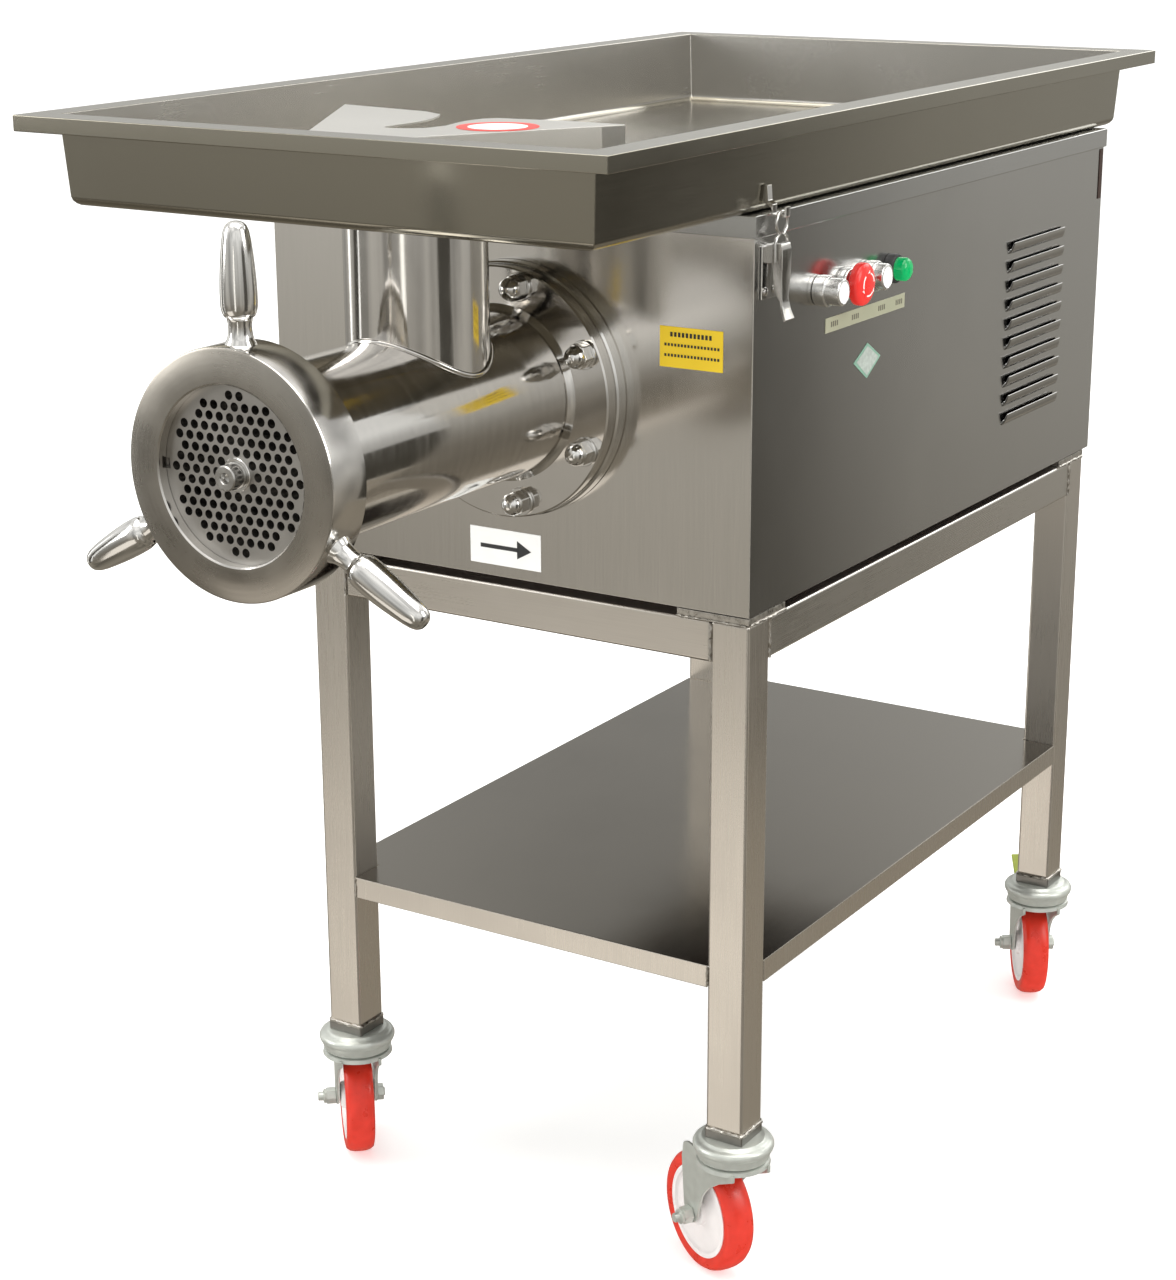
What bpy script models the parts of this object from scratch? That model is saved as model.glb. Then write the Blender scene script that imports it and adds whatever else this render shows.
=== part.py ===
"""Floor-standing electric meat grinder: a castor frame, a drive housing, a mincing head and a feed tray.

Sizes are in millimetres in the machine's own axes: x = 0 on the barrel's centre line, y = 0 on the
housing's front face, z = 0 on the floor. -Y is the mincing head's end and +X is the control side.
"""

import math

import bmesh
import bpy
from mathutils import Matrix, Vector

MM = 0.001
GAP = 0.3

# Frame
TUBE = 40.0
TUBE_WALL = 2.5
FRAME_WIDTH = 500.0
FRAME_LENGTH = 800.0
RAIL_TOP = 690.0
LEG_FOOT = 175.0
SHELF_TOP = 346.0
SHELF_LIP = 23.0
SHEET = 2.0
PAD_LENGTH = 76.0
PAD_DEPTH = 70.0
PAD_THICK = 7.0

# Castors
WHEEL_RADIUS = 62.5
WHEEL_WIDTH = 32.0
WHEEL_TRAIL = 42.0
HEAD_RADIUS = 40.0
HEAD_BOTTOM = 142.0
CHEEK_INNER = 19.0
CHEEK_THICK = 3.5
ADAPTER = 42.0
ADAPTER_HEIGHT = 11.0

# Housing
HOUSING_LEFT = -283.0
HOUSING_RIGHT = 250.0
HOUSING_LENGTH = 815.0
HOUSING_BOTTOM = 697.6
FLOOR_THICK = 3.0
LID_LIP_BOTTOM = 1042.0
LID_TOP = 1062.0
LID_PROUD = 2.5
GLAND_X = -180.0
GLAND_Z = 760.0

# Feed tray
TRAY_BOTTOM = 1062.4
RIM_TOP = 1144.0
RIM_LIP = 14.5
RIM_X = (-340.0, 278.0)
RIM_Y = (-287.0, 886.0)
BODY_X = (-312.0, 250.0)
BODY_Y = (-259.0, 858.0)
FLOOR_IN = 5.0

# Mincing head
AXIS_Z = 885.0
TUBE_RADIUS = 78.0
BORE_RADIUS = 73.0
HEAD_OUTER = 92.0
PLATE_RADIUS = 79.6
PLATE_THICK = 17.0
FLANGE_RADIUS = 118.0
FLANGE_FRONT = -29.0
MOUNT_RING_RADIUS = 120.0
MOUNT_RING_FRONT = -14.5
THROAT_RADIUS = 63.4
THROAT_BORE = 60.5
THROAT_Y = -155.0
RING_FRONT = -417.0
RING_BACK = -372.0
RING_RADIUS = 105.5
RING_OPENING = 75.0
RING_WALL = 10.0
NUT_CIRCLE = 103.0
NUT_COUNT = 7
HANDLE_TIP = 203.0
HANDLE_Y = -395.0
HANDLE_ANGLES = (90.0, -30.0, -150.0)
FLIGHT_RADIUS = BORE_RADIUS - 1.2
CORE_RADIUS = 33.0
FLIGHT_LAND = math.radians(26)
FLIGHT_SLOPE = math.radians(26)
FLIGHT_TURNS = 3.25
FLIGHT_STEPS = 34
FLIGHT_POINTS = 20
PIN_RADIUS = 11.0
PIN_END = -423.0

# Drive
GEAR_TEETH = 40
PINION_TEETH = 10
MODULE = 4.0
GEAR_Y = (222.0, 256.0)
PINION_X = -80.0
PINION_Z = AXIS_Z - 60.0
MOTOR_RADIUS = 92.0
MOTOR_Y = (300.0, 640.0)
SHAFT_RADIUS = 25.0

# Controls on the right-hand face
CONTROL_Z = 980.0
CONTROL_Y = {"start": 122.0, "stop": 172.0, "reverse": 221.0, "lamp": 270.0}
BEZEL_BORE = 12.9
CAP_RADIUS = 12.5
STOP_STEM = 8.0

# Latch
LATCH_Y = 25.0
LATCH_X = 263.0
LATCH_Z = 1032.0
LATCH_ARM = 10.0
WIRE_RADIUS = 1.5
EYE_RADIUS = 10.0
EYE_HEIGHT = 32.0

X_SPAN = (RIM_X[0], RIM_X[1])
Y_SPAN = (PIN_END, RIM_Y[1])
ORIGIN_SHIFT = Vector((-sum(X_SPAN) / 2, -sum(Y_SPAN) / 2, 0)) * MM


def clear_scene():
    for obj in list(bpy.data.objects):
        bpy.data.objects.remove(obj, do_unlink=True)


clear_scene()

parts = bpy.data.collections.new("meat_grinder")
bpy.context.scene.collection.children.link(parts)
cutters = bpy.data.collections.new("cutters")
bpy.context.scene.collection.children.link(cutters)

machine = bpy.data.objects.new("machine", None)
machine.location = ORIGIN_SHIFT
parts.objects.link(machine)


def material(name, color, metallic, roughness):
    made = bpy.data.materials.new(name)
    made.use_nodes = True
    shader = made.node_tree.nodes["Principled BSDF"]
    shader.inputs["Base Color"].default_value = (*color, 1)
    shader.inputs["Metallic"].default_value = metallic
    shader.inputs["Roughness"].default_value = roughness
    return made


SATIN = (0.56, 0.55, 0.53), 1.0, 0.35
POLISHED = (0.66, 0.65, 0.63), 1.0, 0.18
CAST = (0.52, 0.52, 0.51), 1.0, 0.45
ZINC = (0.6, 0.6, 0.58), 1.0, 0.4
RED_TREAD = (0.42, 0.05, 0.04), 0.0, 0.5
RED_CAP = (0.65, 0.03, 0.03), 0.0, 0.3
GREEN_LENS = (0.03, 0.35, 0.08), 0.0, 0.2
DARK = (0.03, 0.03, 0.03), 0.0, 0.5
GREY_PAINT = (0.18, 0.2, 0.22), 0.0, 0.5
PEDAL = (0.55, 0.6, 0.1), 0.0, 0.4


def place(name, bm, look, location=(0, 0, 0), turn=0.0, helper=False, parent=machine):
    """One object from a bmesh held in millimetres, with its origin at location."""
    bmesh.ops.remove_doubles(bm, verts=bm.verts, dist=0.0001)
    bmesh.ops.recalc_face_normals(bm, faces=bm.faces)
    bmesh.ops.scale(bm, vec=(MM, MM, MM), verts=bm.verts)
    mesh = bpy.data.meshes.new(name)
    bm.to_mesh(mesh)
    bm.free()
    mesh.shade_smooth()
    mesh.set_sharp_from_angle(angle=math.radians(35))
    obj = bpy.data.objects.new(name, mesh)
    if helper:
        cutters.objects.link(obj)
        obj.hide_render = True
        obj.display_type = "WIRE"
    else:
        parts.objects.link(obj)
        mesh.materials.append(material(name + "_look", *look))
    obj.parent = parent
    obj.location = Vector(location) * MM
    obj.rotation_euler = (0, 0, math.radians(turn))
    return obj


def join(obj, other, operation):
    cut = obj.modifiers.new(operation.lower(), "BOOLEAN")
    cut.operation = operation
    cut.solver = "EXACT"
    cut.object = other


def box(x, y, z):
    bm = bmesh.new()
    bmesh.ops.create_cube(bm, size=1)
    bmesh.ops.scale(bm, vec=(x[1] - x[0], y[1] - y[0], z[1] - z[0]), verts=bm.verts)
    bmesh.ops.translate(bm, vec=(sum(x) / 2, sum(y) / 2, sum(z) / 2), verts=bm.verts)
    return bm


# Each turns a shape drawn along Z to lie along that axis
AXES = {
    "X": Matrix(((0, 0, 1), (1, 0, 0), (0, 1, 0))),
    "Y": Matrix(((1, 0, 0), (0, 0, 1), (0, 1, 0))),
    "Z": Matrix.Identity(3),
}


def lathe(profile, axis="Y", segments=32, centre=(0, 0, 0)):
    """A closed (radius, height) outline spun round an axis. A radius of 0 lies on the axis."""
    bm = bmesh.new()
    spots = [bm.verts.new((radius, 0, height)) for radius, height in profile]
    edges = [
        bm.edges.new((first, second))
        for first, second in zip(spots, spots[1:] + spots[:1])
        if first.co.x > 0 or second.co.x > 0
    ]
    bmesh.ops.spin(
        bm,
        geom=spots + edges,
        axis=(0, 0, 1),
        angle=2 * math.pi,
        steps=segments,
        use_merge=True,
    )
    bmesh.ops.transform(bm, matrix=Matrix.Translation(centre) @ AXES[axis].to_4x4(), verts=bm.verts)
    return bm


def rod(radius, low, high, axis="Y", segments=24, centre=(0, 0, 0)):
    return lathe([(0, low), (radius, low), (radius, high), (0, high)], axis, segments, centre)


def pull(bm, edges, height, twist=0.0):
    """Draws a loop of edges out along Z, turns its far end by twist, and returns the far edges."""
    made = bmesh.ops.extrude_edge_only(bm, edges=edges)["geom"]
    far = {piece for piece in made if isinstance(piece, bmesh.types.BMVert)}
    bmesh.ops.translate(bm, vec=(0, 0, height), verts=list(far))
    bmesh.ops.rotate(bm, matrix=Matrix.Rotation(twist, 3, "Z"), verts=list(far))
    return [piece for piece in made if isinstance(piece, bmesh.types.BMEdge) and far.issuperset(piece.verts)]


def prism(outline, low, high, axis="Z", steps=1, twist=0.0):
    """A flat outline drawn straight along an axis, or wound round it by twist radians in all."""
    bm = bmesh.new()
    spots = [bm.verts.new((u, v, low)) for u, v in outline]
    edges = [bm.edges.new(pair) for pair in zip(spots, spots[1:] + spots[:1])]
    bm.faces.new(spots)
    for _ in range(steps):
        edges = pull(bm, edges, (high - low) / steps, twist / steps)
    bmesh.ops.contextual_create(bm, geom=edges)
    bmesh.ops.transform(bm, matrix=AXES[axis].to_4x4(), verts=bm.verts)
    return bm


def tube_skin(size, low, high, axis):
    """The outer faces of an open-ended rectangular tube, centred on the axis."""
    bm = box((-size[0] / 2, size[0] / 2), (-size[1] / 2, size[1] / 2), (low, high))
    ends = [face for face in bm.faces if abs(face.normal.z) > 0.9]
    bmesh.ops.delete(bm, geom=ends, context="FACES_ONLY")
    bmesh.ops.transform(bm, matrix=AXES[axis].to_4x4(), verts=bm.verts)
    return bm


def thicken(obj, wall):
    """Gives a skin its wall, on the inner side."""
    sheet = obj.modifiers.new("sheet", "SOLIDIFY")
    sheet.thickness = wall * MM
    sheet.offset = -1
    sheet.use_even_offset = True


# Frame: four legs with their welded corner pads, four rails and the lower shelf
half_width = FRAME_WIDTH / 2
corners = {
    "front_right": (1, 0),
    "front_left": (-1, 0),
    "rear_right": (1, 1),
    "rear_left": (-1, 1),
}
leg_centre = {
    where: Vector((side * (half_width - TUBE / 2), TUBE / 2 + end * (FRAME_LENGTH - TUBE), 0))
    for where, (side, end) in corners.items()
}
for where, (side, end) in corners.items():
    centre = leg_centre[where]
    leg = place(
        "leg_" + where,
        tube_skin((TUBE, TUBE), LEG_FOOT, RAIL_TOP + GAP + 1, "Z"),
        SATIN,
        centre,
    )
    thicken(leg, TUBE_WALL)
    outer_x = side * half_width - centre.x
    outer_y = end * FRAME_LENGTH - centre.y
    inner_y = outer_y + (PAD_DEPTH if end == 0 else -PAD_DEPTH)
    pad = place(
        "pad_" + where,
        box(
            sorted((outer_x, outer_x - side * PAD_LENGTH)),
            sorted((outer_y, inner_y)),
            (RAIL_TOP + GAP, RAIL_TOP + PAD_THICK + GAP),
        ),
        None,
        centre,
        helper=True,
    )
    join(leg, pad, "UNION")

rail_z = RAIL_TOP - TUBE / 2
cross = half_width - TUBE - GAP
for name, y in (("rail_front", TUBE / 2), ("rail_rear", FRAME_LENGTH - TUBE / 2)):
    rail = place(name, tube_skin((TUBE, TUBE), -cross, cross, "X"), SATIN, (0, y, rail_z))
    thicken(rail, TUBE_WALL)
along = FRAME_LENGTH / 2 - TUBE - GAP
for name, x in (("rail_right", half_width - TUBE / 2), ("rail_left", -half_width + TUBE / 2)):
    skin = tube_skin((TUBE, TUBE), -along, along, "Y")
    thicken(place(name, skin, SATIN, (x, FRAME_LENGTH / 2, rail_z)), TUBE_WALL)

shelf = place(
    "shelf",
    box((-half_width, half_width), (0, FRAME_LENGTH), (SHELF_TOP - SHELF_LIP, SHELF_TOP)),
    SATIN,
)
under_shelf = box(
    (-half_width + SHEET, half_width - SHEET),
    (SHEET, FRAME_LENGTH - SHEET),
    (SHELF_TOP - SHELF_LIP - 5, SHELF_TOP - SHEET),
)
join(shelf, place("shelf_hollow", under_shelf, None, helper=True), "DIFFERENCE")
notch = TUBE + GAP
for where, (side, end) in corners.items():
    y_edge = end * FRAME_LENGTH
    cut = box(
        sorted((side * (half_width + 5), side * (half_width - notch))),
        sorted((y_edge + (5 if end else -5), y_edge + (-notch if end else notch))),
        (SHELF_TOP - SHELF_LIP - 9, SHELF_TOP + 9),
    )
    join(shelf, place("shelf_notch_" + where, cut, None, helper=True), "DIFFERENCE")

# Castors: a fixed head, a swivelling fork with its axle bolt, and a wheel. The rear ones have a pedal
castor_turn = {"front_right": -118.0, "front_left": -138.0, "rear_right": -148.0, "rear_left": -130.0}
axle_z = WHEEL_RADIUS
tread = WHEEL_WIDTH / 2
for where, turn in castor_turn.items():
    centre = leg_centre[where]
    half = ADAPTER / 2
    head = place(
        "castor_head_" + where,
        box((-half, half), (-half, half), (LEG_FOOT - GAP - ADAPTER_HEIGHT, LEG_FOOT - GAP)),
        ZINC,
        centre,
    )
    collar = [
        (0, HEAD_BOTTOM),
        (HEAD_RADIUS - 3, HEAD_BOTTOM),
        (HEAD_RADIUS, HEAD_BOTTOM + 4),
        (HEAD_RADIUS, HEAD_BOTTOM + 12),
        (HEAD_RADIUS - 9, LEG_FOOT - ADAPTER_HEIGHT + 1),
        (0, LEG_FOOT - ADAPTER_HEIGHT + 1),
    ]
    join(head, place("collar_" + where, lathe(collar, "Z", 24), None, centre, helper=True), "UNION")

    crown_top = HEAD_BOTTOM - GAP
    crown = [(0, crown_top - 8), (37, crown_top - 8), (37, crown_top), (0, crown_top)]
    fork = place("castor_fork_" + where, lathe(crown, "Z", 24), ZINC, centre, turn)
    cheek_outline = [
        (31, crown_top - 4),
        (-58, crown_top - 4),
        (-64, 122),
        (-WHEEL_TRAIL - 13, axle_z + 4),
        (-WHEEL_TRAIL - 9, axle_z - 10),
        (-WHEEL_TRAIL + 9, axle_z - 10),
        (-WHEEL_TRAIL + 15, axle_z + 8),
        (6, 112),
    ]
    for side, low in (("a", CHEEK_INNER), ("b", -CHEEK_INNER - CHEEK_THICK)):
        cheek = prism(cheek_outline, low, low + CHEEK_THICK, "X")
        join(fork, place("cheek_" + side + where, cheek, None, centre, turn, helper=True), "UNION")
    bolt = [(0, -30), (8, -30), (8, -22), (5.5, -22), (5.5, 22), (9, 22), (9, 33), (6, 35), (6, 41), (0, 41)]
    bolt_part = lathe(bolt, "X", 12, (0, -WHEEL_TRAIL, axle_z))
    join(fork, place("bolt_" + where, bolt_part, None, centre, turn, helper=True), "UNION")

    swing = Matrix.Rotation(math.radians(turn), 3, "Z")
    hub = centre + swing @ Vector((0, -WHEEL_TRAIL, axle_z))
    wheel_outline = [
        (6.2, -18),
        (14, -18),
        (16, -12),
        (42, -12),
        (44, -14),
        (56, -tread),
        (61, -tread + 6),
        (WHEEL_RADIUS, 0),
        (61, tread - 6),
        (56, tread),
        (44, 14),
        (42, 12),
        (16, 12),
        (14, 18),
        (6.2, 18),
    ]
    place("wheel_" + where, lathe(wheel_outline, "X", 32), RED_TREAD, hub, turn)
    if where.startswith("rear"):
        hinge = centre + swing @ Vector((0, -54, 131))
        pad_outline = [(-2, -3), (3, -3), (4, 3), (-26, 17), (-44, 26), (-45, 23), (-26, 13)]
        place("brake_pedal_" + where, prism(pad_outline, -17, 17, "X"), PEDAL, hinge, turn)

# Housing: walls, lid, floor plate and the supply gland
walls_top = LID_TOP - SHEET - GAP
housing_mid_x = (HOUSING_LEFT + HOUSING_RIGHT) / 2
housing_mid_y = HOUSING_LENGTH / 2
housing_size = (HOUSING_RIGHT - HOUSING_LEFT, HOUSING_LENGTH)
walls = tube_skin(housing_size, HOUSING_BOTTOM, walls_top, "Z")
casing = place("casing", walls, SATIN, (housing_mid_x, housing_mid_y, 0))
thicken(casing, SHEET)
shaft_hole = rod(40, -20, 20, "Y", 32, (0, 0, AXIS_Z))
join(casing, place("shaft_hole", shaft_hole, None, helper=True), "DIFFERENCE")
for name, radius in (("start", BEZEL_BORE), ("reverse", BEZEL_BORE), ("stop", STOP_STEM + 0.6)):
    spot = (HOUSING_RIGHT, CONTROL_Y[name], CONTROL_Z)
    button_hole = rod(radius, -10, 10, "X", 16, spot)
    join(casing, place(name + "_hole", button_hole, None, helper=True), "DIFFERENCE")
gland_hole = rod(11, HOUSING_LENGTH - 20, HOUSING_LENGTH + 20, "Y", 16, (GLAND_X, 0, GLAND_Z))
join(casing, place("gland_hole", gland_hole, None, helper=True), "DIFFERENCE")
inset = SHEET + GAP
place(
    "floor_plate",
    box(
        (HOUSING_LEFT + inset, HOUSING_RIGHT - inset),
        (inset, HOUSING_LENGTH - inset),
        (HOUSING_BOTTOM, HOUSING_BOTTOM + FLOOR_THICK),
    ),
    SATIN,
)
lid_x = (HOUSING_LEFT - LID_PROUD, HOUSING_RIGHT + LID_PROUD)
lid_y = (-LID_PROUD, HOUSING_LENGTH + LID_PROUD)
lid = place("lid", box(lid_x, lid_y, (LID_LIP_BOTTOM, LID_TOP)), SATIN)
lid_hollow = box(
    (lid_x[0] + SHEET, lid_x[1] - SHEET),
    (lid_y[0] + SHEET, lid_y[1] - SHEET),
    (LID_LIP_BOTTOM - 5, LID_TOP - SHEET),
)
join(lid, place("lid_hollow", lid_hollow, None, helper=True), "DIFFERENCE")
gland = [(6, -12), (10.5, -12), (10.5, 2.3), (15, 2.3), (15, 9), (12, 14), (12, 26), (9, 30), (6, 30)]
place("cable_gland", lathe(gland, "Y", 16), DARK, (GLAND_X, HOUSING_LENGTH, GLAND_Z))

# Drive: motor, gear case with cover, pinion and the output gear with its shaft
case_x = (-130.0, 110.0)
case_y = (190.0, 290.0)
case_z = (HOUSING_BOTTOM + FLOOR_THICK + GAP, 995.0)
gear_case = place("gear_case", box(case_x, case_y, case_z), CAST)
hollow = box(
    (case_x[0] + 10, case_x[1] - 10), (case_y[0] + 12, case_y[1] - 12), (case_z[0] + 12, case_z[1] + 5)
)
join(gear_case, place("gear_room", hollow, None, helper=True), "DIFFERENCE")
pinion_bore = rod(12.6, 270, 300, "Y", 24, (PINION_X, 0, PINION_Z))
join(gear_case, place("pinion_bore", pinion_bore, None, helper=True), "DIFFERENCE")
nose_seat = rod(45, 180, 215, "Y", 32, (0, 0, AXIS_Z))
join(gear_case, place("nose_seat", nose_seat, None, helper=True), "DIFFERENCE")
nose_bore = SHAFT_RADIUS + 0.6
nose = lathe([(nose_bore, 2.3), (62, 2.3), (62, 196), (nose_bore, 196)], "Y", 32)
join(gear_case, place("nose", nose, None, (0, 0, AXIS_Z), helper=True), "UNION")
place("gear_cover", box(case_x, case_y, (case_z[1] + GAP, case_z[1] + 8)), CAST)


def gear_outline(teeth, phase):
    """Straight-sided teeth with enough play to turn freely against each other."""
    pitch_radius = MODULE * teeth / 2
    outline = []
    for i in range(teeth):
        for radius, part in (
            (pitch_radius - 1.2 * MODULE, -0.34),
            (pitch_radius + 0.9 * MODULE, -0.11),
            (pitch_radius + 0.9 * MODULE, 0.11),
            (pitch_radius - 1.2 * MODULE, 0.34),
        ):
            angle = phase + 2 * math.pi * (i + part) / teeth
            outline.append((radius * math.cos(angle), radius * math.sin(angle)))
    return outline


mesh_angle = math.atan2(PINION_Z - AXIS_Z, PINION_X)
gear_phase = mesh_angle
pinion_phase = mesh_angle + math.pi + math.pi / PINION_TEETH
drive_gear = place(
    "drive_gear", prism(gear_outline(GEAR_TEETH, gear_phase), *GEAR_Y, "Y"), CAST, (0, 0, AXIS_Z)
)
shaft_outline = [(0, -13), (SHAFT_RADIUS, -13), (SHAFT_RADIUS, 270), (0, 270)]
shaft = place("shaft", lathe(shaft_outline, "Y", 24), None, (0, 0, AXIS_Z), helper=True)
join(drive_gear, shaft, "UNION")
pinion = place(
    "pinion",
    prism(gear_outline(PINION_TEETH, pinion_phase), *GEAR_Y, "Y"),
    CAST,
    (PINION_X, 0, PINION_Z),
)
pinion_shaft = rod(12, 215, MOTOR_Y[0] - GAP, "Y", 20)
join(pinion, place("pinion_shaft", pinion_shaft, None, (PINION_X, 0, PINION_Z), helper=True), "UNION")
motor_outline = [
    (0, MOTOR_Y[0]),
    (70, MOTOR_Y[0]),
    (MOTOR_RADIUS, MOTOR_Y[0] + 14),
    (MOTOR_RADIUS, MOTOR_Y[1] - 70),
    (MOTOR_RADIUS - 6, MOTOR_Y[1] - 66),
    (MOTOR_RADIUS - 6, MOTOR_Y[1] - 10),
    (MOTOR_RADIUS - 20, MOTOR_Y[1]),
    (0, MOTOR_Y[1]),
]
motor = place("motor", lathe(motor_outline, "Y", 32), GREY_PAINT, (PINION_X, 0, PINION_Z))
motor_foot = box(
    (-75, 75), (MOTOR_Y[0] + 60, MOTOR_Y[1] - 110), (case_z[0] - PINION_Z, -MOTOR_RADIUS + 22)
)
join(motor, place("motor_foot", motor_foot, None, (PINION_X, 0, PINION_Z), helper=True), "UNION")

# Mincing head: mounting ring, barrel with throat, seven cap nuts
ring_outline = [(48, MOUNT_RING_FRONT), (MOUNT_RING_RADIUS, MOUNT_RING_FRONT)]
ring_outline += [(MOUNT_RING_RADIUS, -GAP), (48, -GAP)]
place("mounting_ring", lathe(ring_outline, "Y", 48), POLISHED, (0, 0, AXIS_Z))

barrel_back = MOUNT_RING_FRONT - GAP
head_front = RING_FRONT + RING_WALL + 3
barrel_outline = [
    (0, head_front),
    (HEAD_OUTER, head_front),
    (HEAD_OUTER, RING_BACK - 2),
    (TUBE_RADIUS, RING_BACK - 2),
    (TUBE_RADIUS, FLANGE_FRONT),
    (FLANGE_RADIUS, FLANGE_FRONT),
    (FLANGE_RADIUS, barrel_back),
    (0, barrel_back),
]
barrel = place("barrel", lathe(barrel_outline, "Y", 48), CAST, (0, 0, AXIS_Z))
throat_top = TRAY_BOTTOM - GAP - AXIS_Z
throat_offset = (0, THROAT_Y, 0)
throat = rod(THROAT_RADIUS, 0, throat_top, "Z", 40, throat_offset)
join(barrel, place("throat", throat, None, (0, 0, AXIS_Z), helper=True), "UNION")
plate_front = RING_FRONT + RING_WALL + GAP
plate_back = plate_front + PLATE_THICK
rear_wall = barrel_back - 6
bore_outline = [
    (0, head_front - 20),
    (PLATE_RADIUS + 0.4, head_front - 20),
    (PLATE_RADIUS + 0.4, plate_back + GAP),
    (BORE_RADIUS, plate_back + GAP),
    (BORE_RADIUS, rear_wall),
    (SHAFT_RADIUS + 0.6, rear_wall),
    (SHAFT_RADIUS + 0.6, barrel_back + 20),
    (0, barrel_back + 20),
]
bore = place("bore", lathe(bore_outline, "Y", 48), None, (0, 0, AXIS_Z), helper=True)
join(barrel, bore, "DIFFERENCE")
throat_bore = rod(THROAT_BORE, 5, throat_top + 20, "Z", 40, throat_offset)
join(barrel, place("throat_bore", throat_bore, None, (0, 0, AXIS_Z), helper=True), "DIFFERENCE")

for i in range(NUT_COUNT):
    angle = math.radians(180 / NUT_COUNT + i * 360 / NUT_COUNT)
    spot = (NUT_CIRCLE * math.cos(angle), 0, AXIS_Z + NUT_CIRCLE * math.sin(angle))
    face = FLANGE_FRONT - GAP
    nut = [(0, face), (12, face), (12, face - 2.5), (10.6, face - 2.5), (10.6, face - 13)]
    nut += [(8.5, face - 17), (5, face - 22), (0, face - 24)]
    place("cap_nut_" + str(i + 1), lathe(nut, "Y", 12), POLISHED, spot)


def auger_radius(angle):
    """The outline of a single-start screw, cut square to its axis."""
    away = min(angle, 2 * math.pi - angle)
    share = min(max((away - FLIGHT_LAND) / FLIGHT_SLOPE, 0), 1)
    return FLIGHT_RADIUS + (CORE_RADIUS - FLIGHT_RADIUS) * share


turn_angles = [2 * math.pi * i / FLIGHT_POINTS for i in range(FLIGHT_POINTS)]
flight_outline = [(auger_radius(a) * math.cos(a), auger_radius(a) * math.sin(a)) for a in turn_angles]
flight = prism(
    flight_outline, plate_back + 12, rear_wall - 1.5, "Y", FLIGHT_STEPS, 2 * math.pi * FLIGHT_TURNS
)
auger = place("auger", flight, CAST, (0, 0, AXIS_Z))
pin_outline = [
    (0, PIN_END),
    (PIN_RADIUS - 1, PIN_END),
    (PIN_RADIUS, PIN_END + 1),
    (PIN_RADIUS, plate_back + 20),
    (0, plate_back + 20),
]
pin = place("pin", lathe(pin_outline, "Y", 24), None, (0, 0, AXIS_Z), helper=True)
join(auger, pin, "UNION")
tang = rod(SHAFT_RADIUS - 3, rear_wall - 20, -13 - GAP, "Y", 24)
join(auger, place("tang", tang, None, (0, 0, AXIS_Z), helper=True), "UNION")

knife_y = (plate_back + 1.0, plate_back + 11.5)
knife_outline = []
for i in range(4):
    base = math.pi / 2 * i
    for radius, offset in ((24.0, -0.55), (66.0, -0.13), (68.0, 0.17), (30.0, 0.30)):
        knife_outline.append((radius * math.cos(base + offset), radius * math.sin(base + offset)))
knife = place("knife", prism(knife_outline, *knife_y, "Y"), POLISHED, (0, 0, AXIS_Z))
knife_bore = rod(PIN_RADIUS + 0.3, knife_y[0] - 5, knife_y[1] + 5, "Y", 24)
join(knife, place("knife_bore", knife_bore, None, (0, 0, AXIS_Z), helper=True), "DIFFERENCE")

plate_outline = [
    (PIN_RADIUS + 0.3, plate_front),
    (PLATE_RADIUS, plate_front),
    (PLATE_RADIUS, plate_back),
    (PIN_RADIUS + 0.3, plate_back),
]
place("mincing_plate", lathe(plate_outline, "Y", 48), CAST, (0, 0, AXIS_Z))

ring_nut_outline = [
    (RING_OPENING, RING_FRONT),
    (RING_RADIUS - 1.5, RING_FRONT),
    (RING_RADIUS, RING_FRONT + 1.5),
    (RING_RADIUS, RING_BACK - 1.5),
    (RING_RADIUS - 1.5, RING_BACK),
    (HEAD_OUTER + 0.5, RING_BACK),
    (HEAD_OUTER + 0.5, RING_FRONT + RING_WALL),
    (RING_OPENING, RING_FRONT + RING_WALL),
]
place("ring_nut", lathe(ring_nut_outline, "Y", 48), POLISHED, (0, 0, AXIS_Z))

base = RING_RADIUS + GAP
grip = [
    (0, base),
    (13, base),
    (10.2, base + 5),
    (9.6, 120),
    (10.6, 126),
    (13.6, 130),
    (15, 138),
    (15, 150),
    (14, 165),
    (12.2, 182),
    (10.2, 195),
    (6, 201.5),
    (0, HANDLE_TIP),
]
for name, angle in zip(("top", "right", "left"), HANDLE_ANGLES):
    bm = lathe(grip, "X", 16)
    bmesh.ops.rotate(bm, verts=bm.verts, matrix=Matrix.Rotation(math.radians(-angle), 3, "Y"))
    place("handle_" + name, bm, POLISHED, (0, HANDLE_Y, AXIS_Z))


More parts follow.
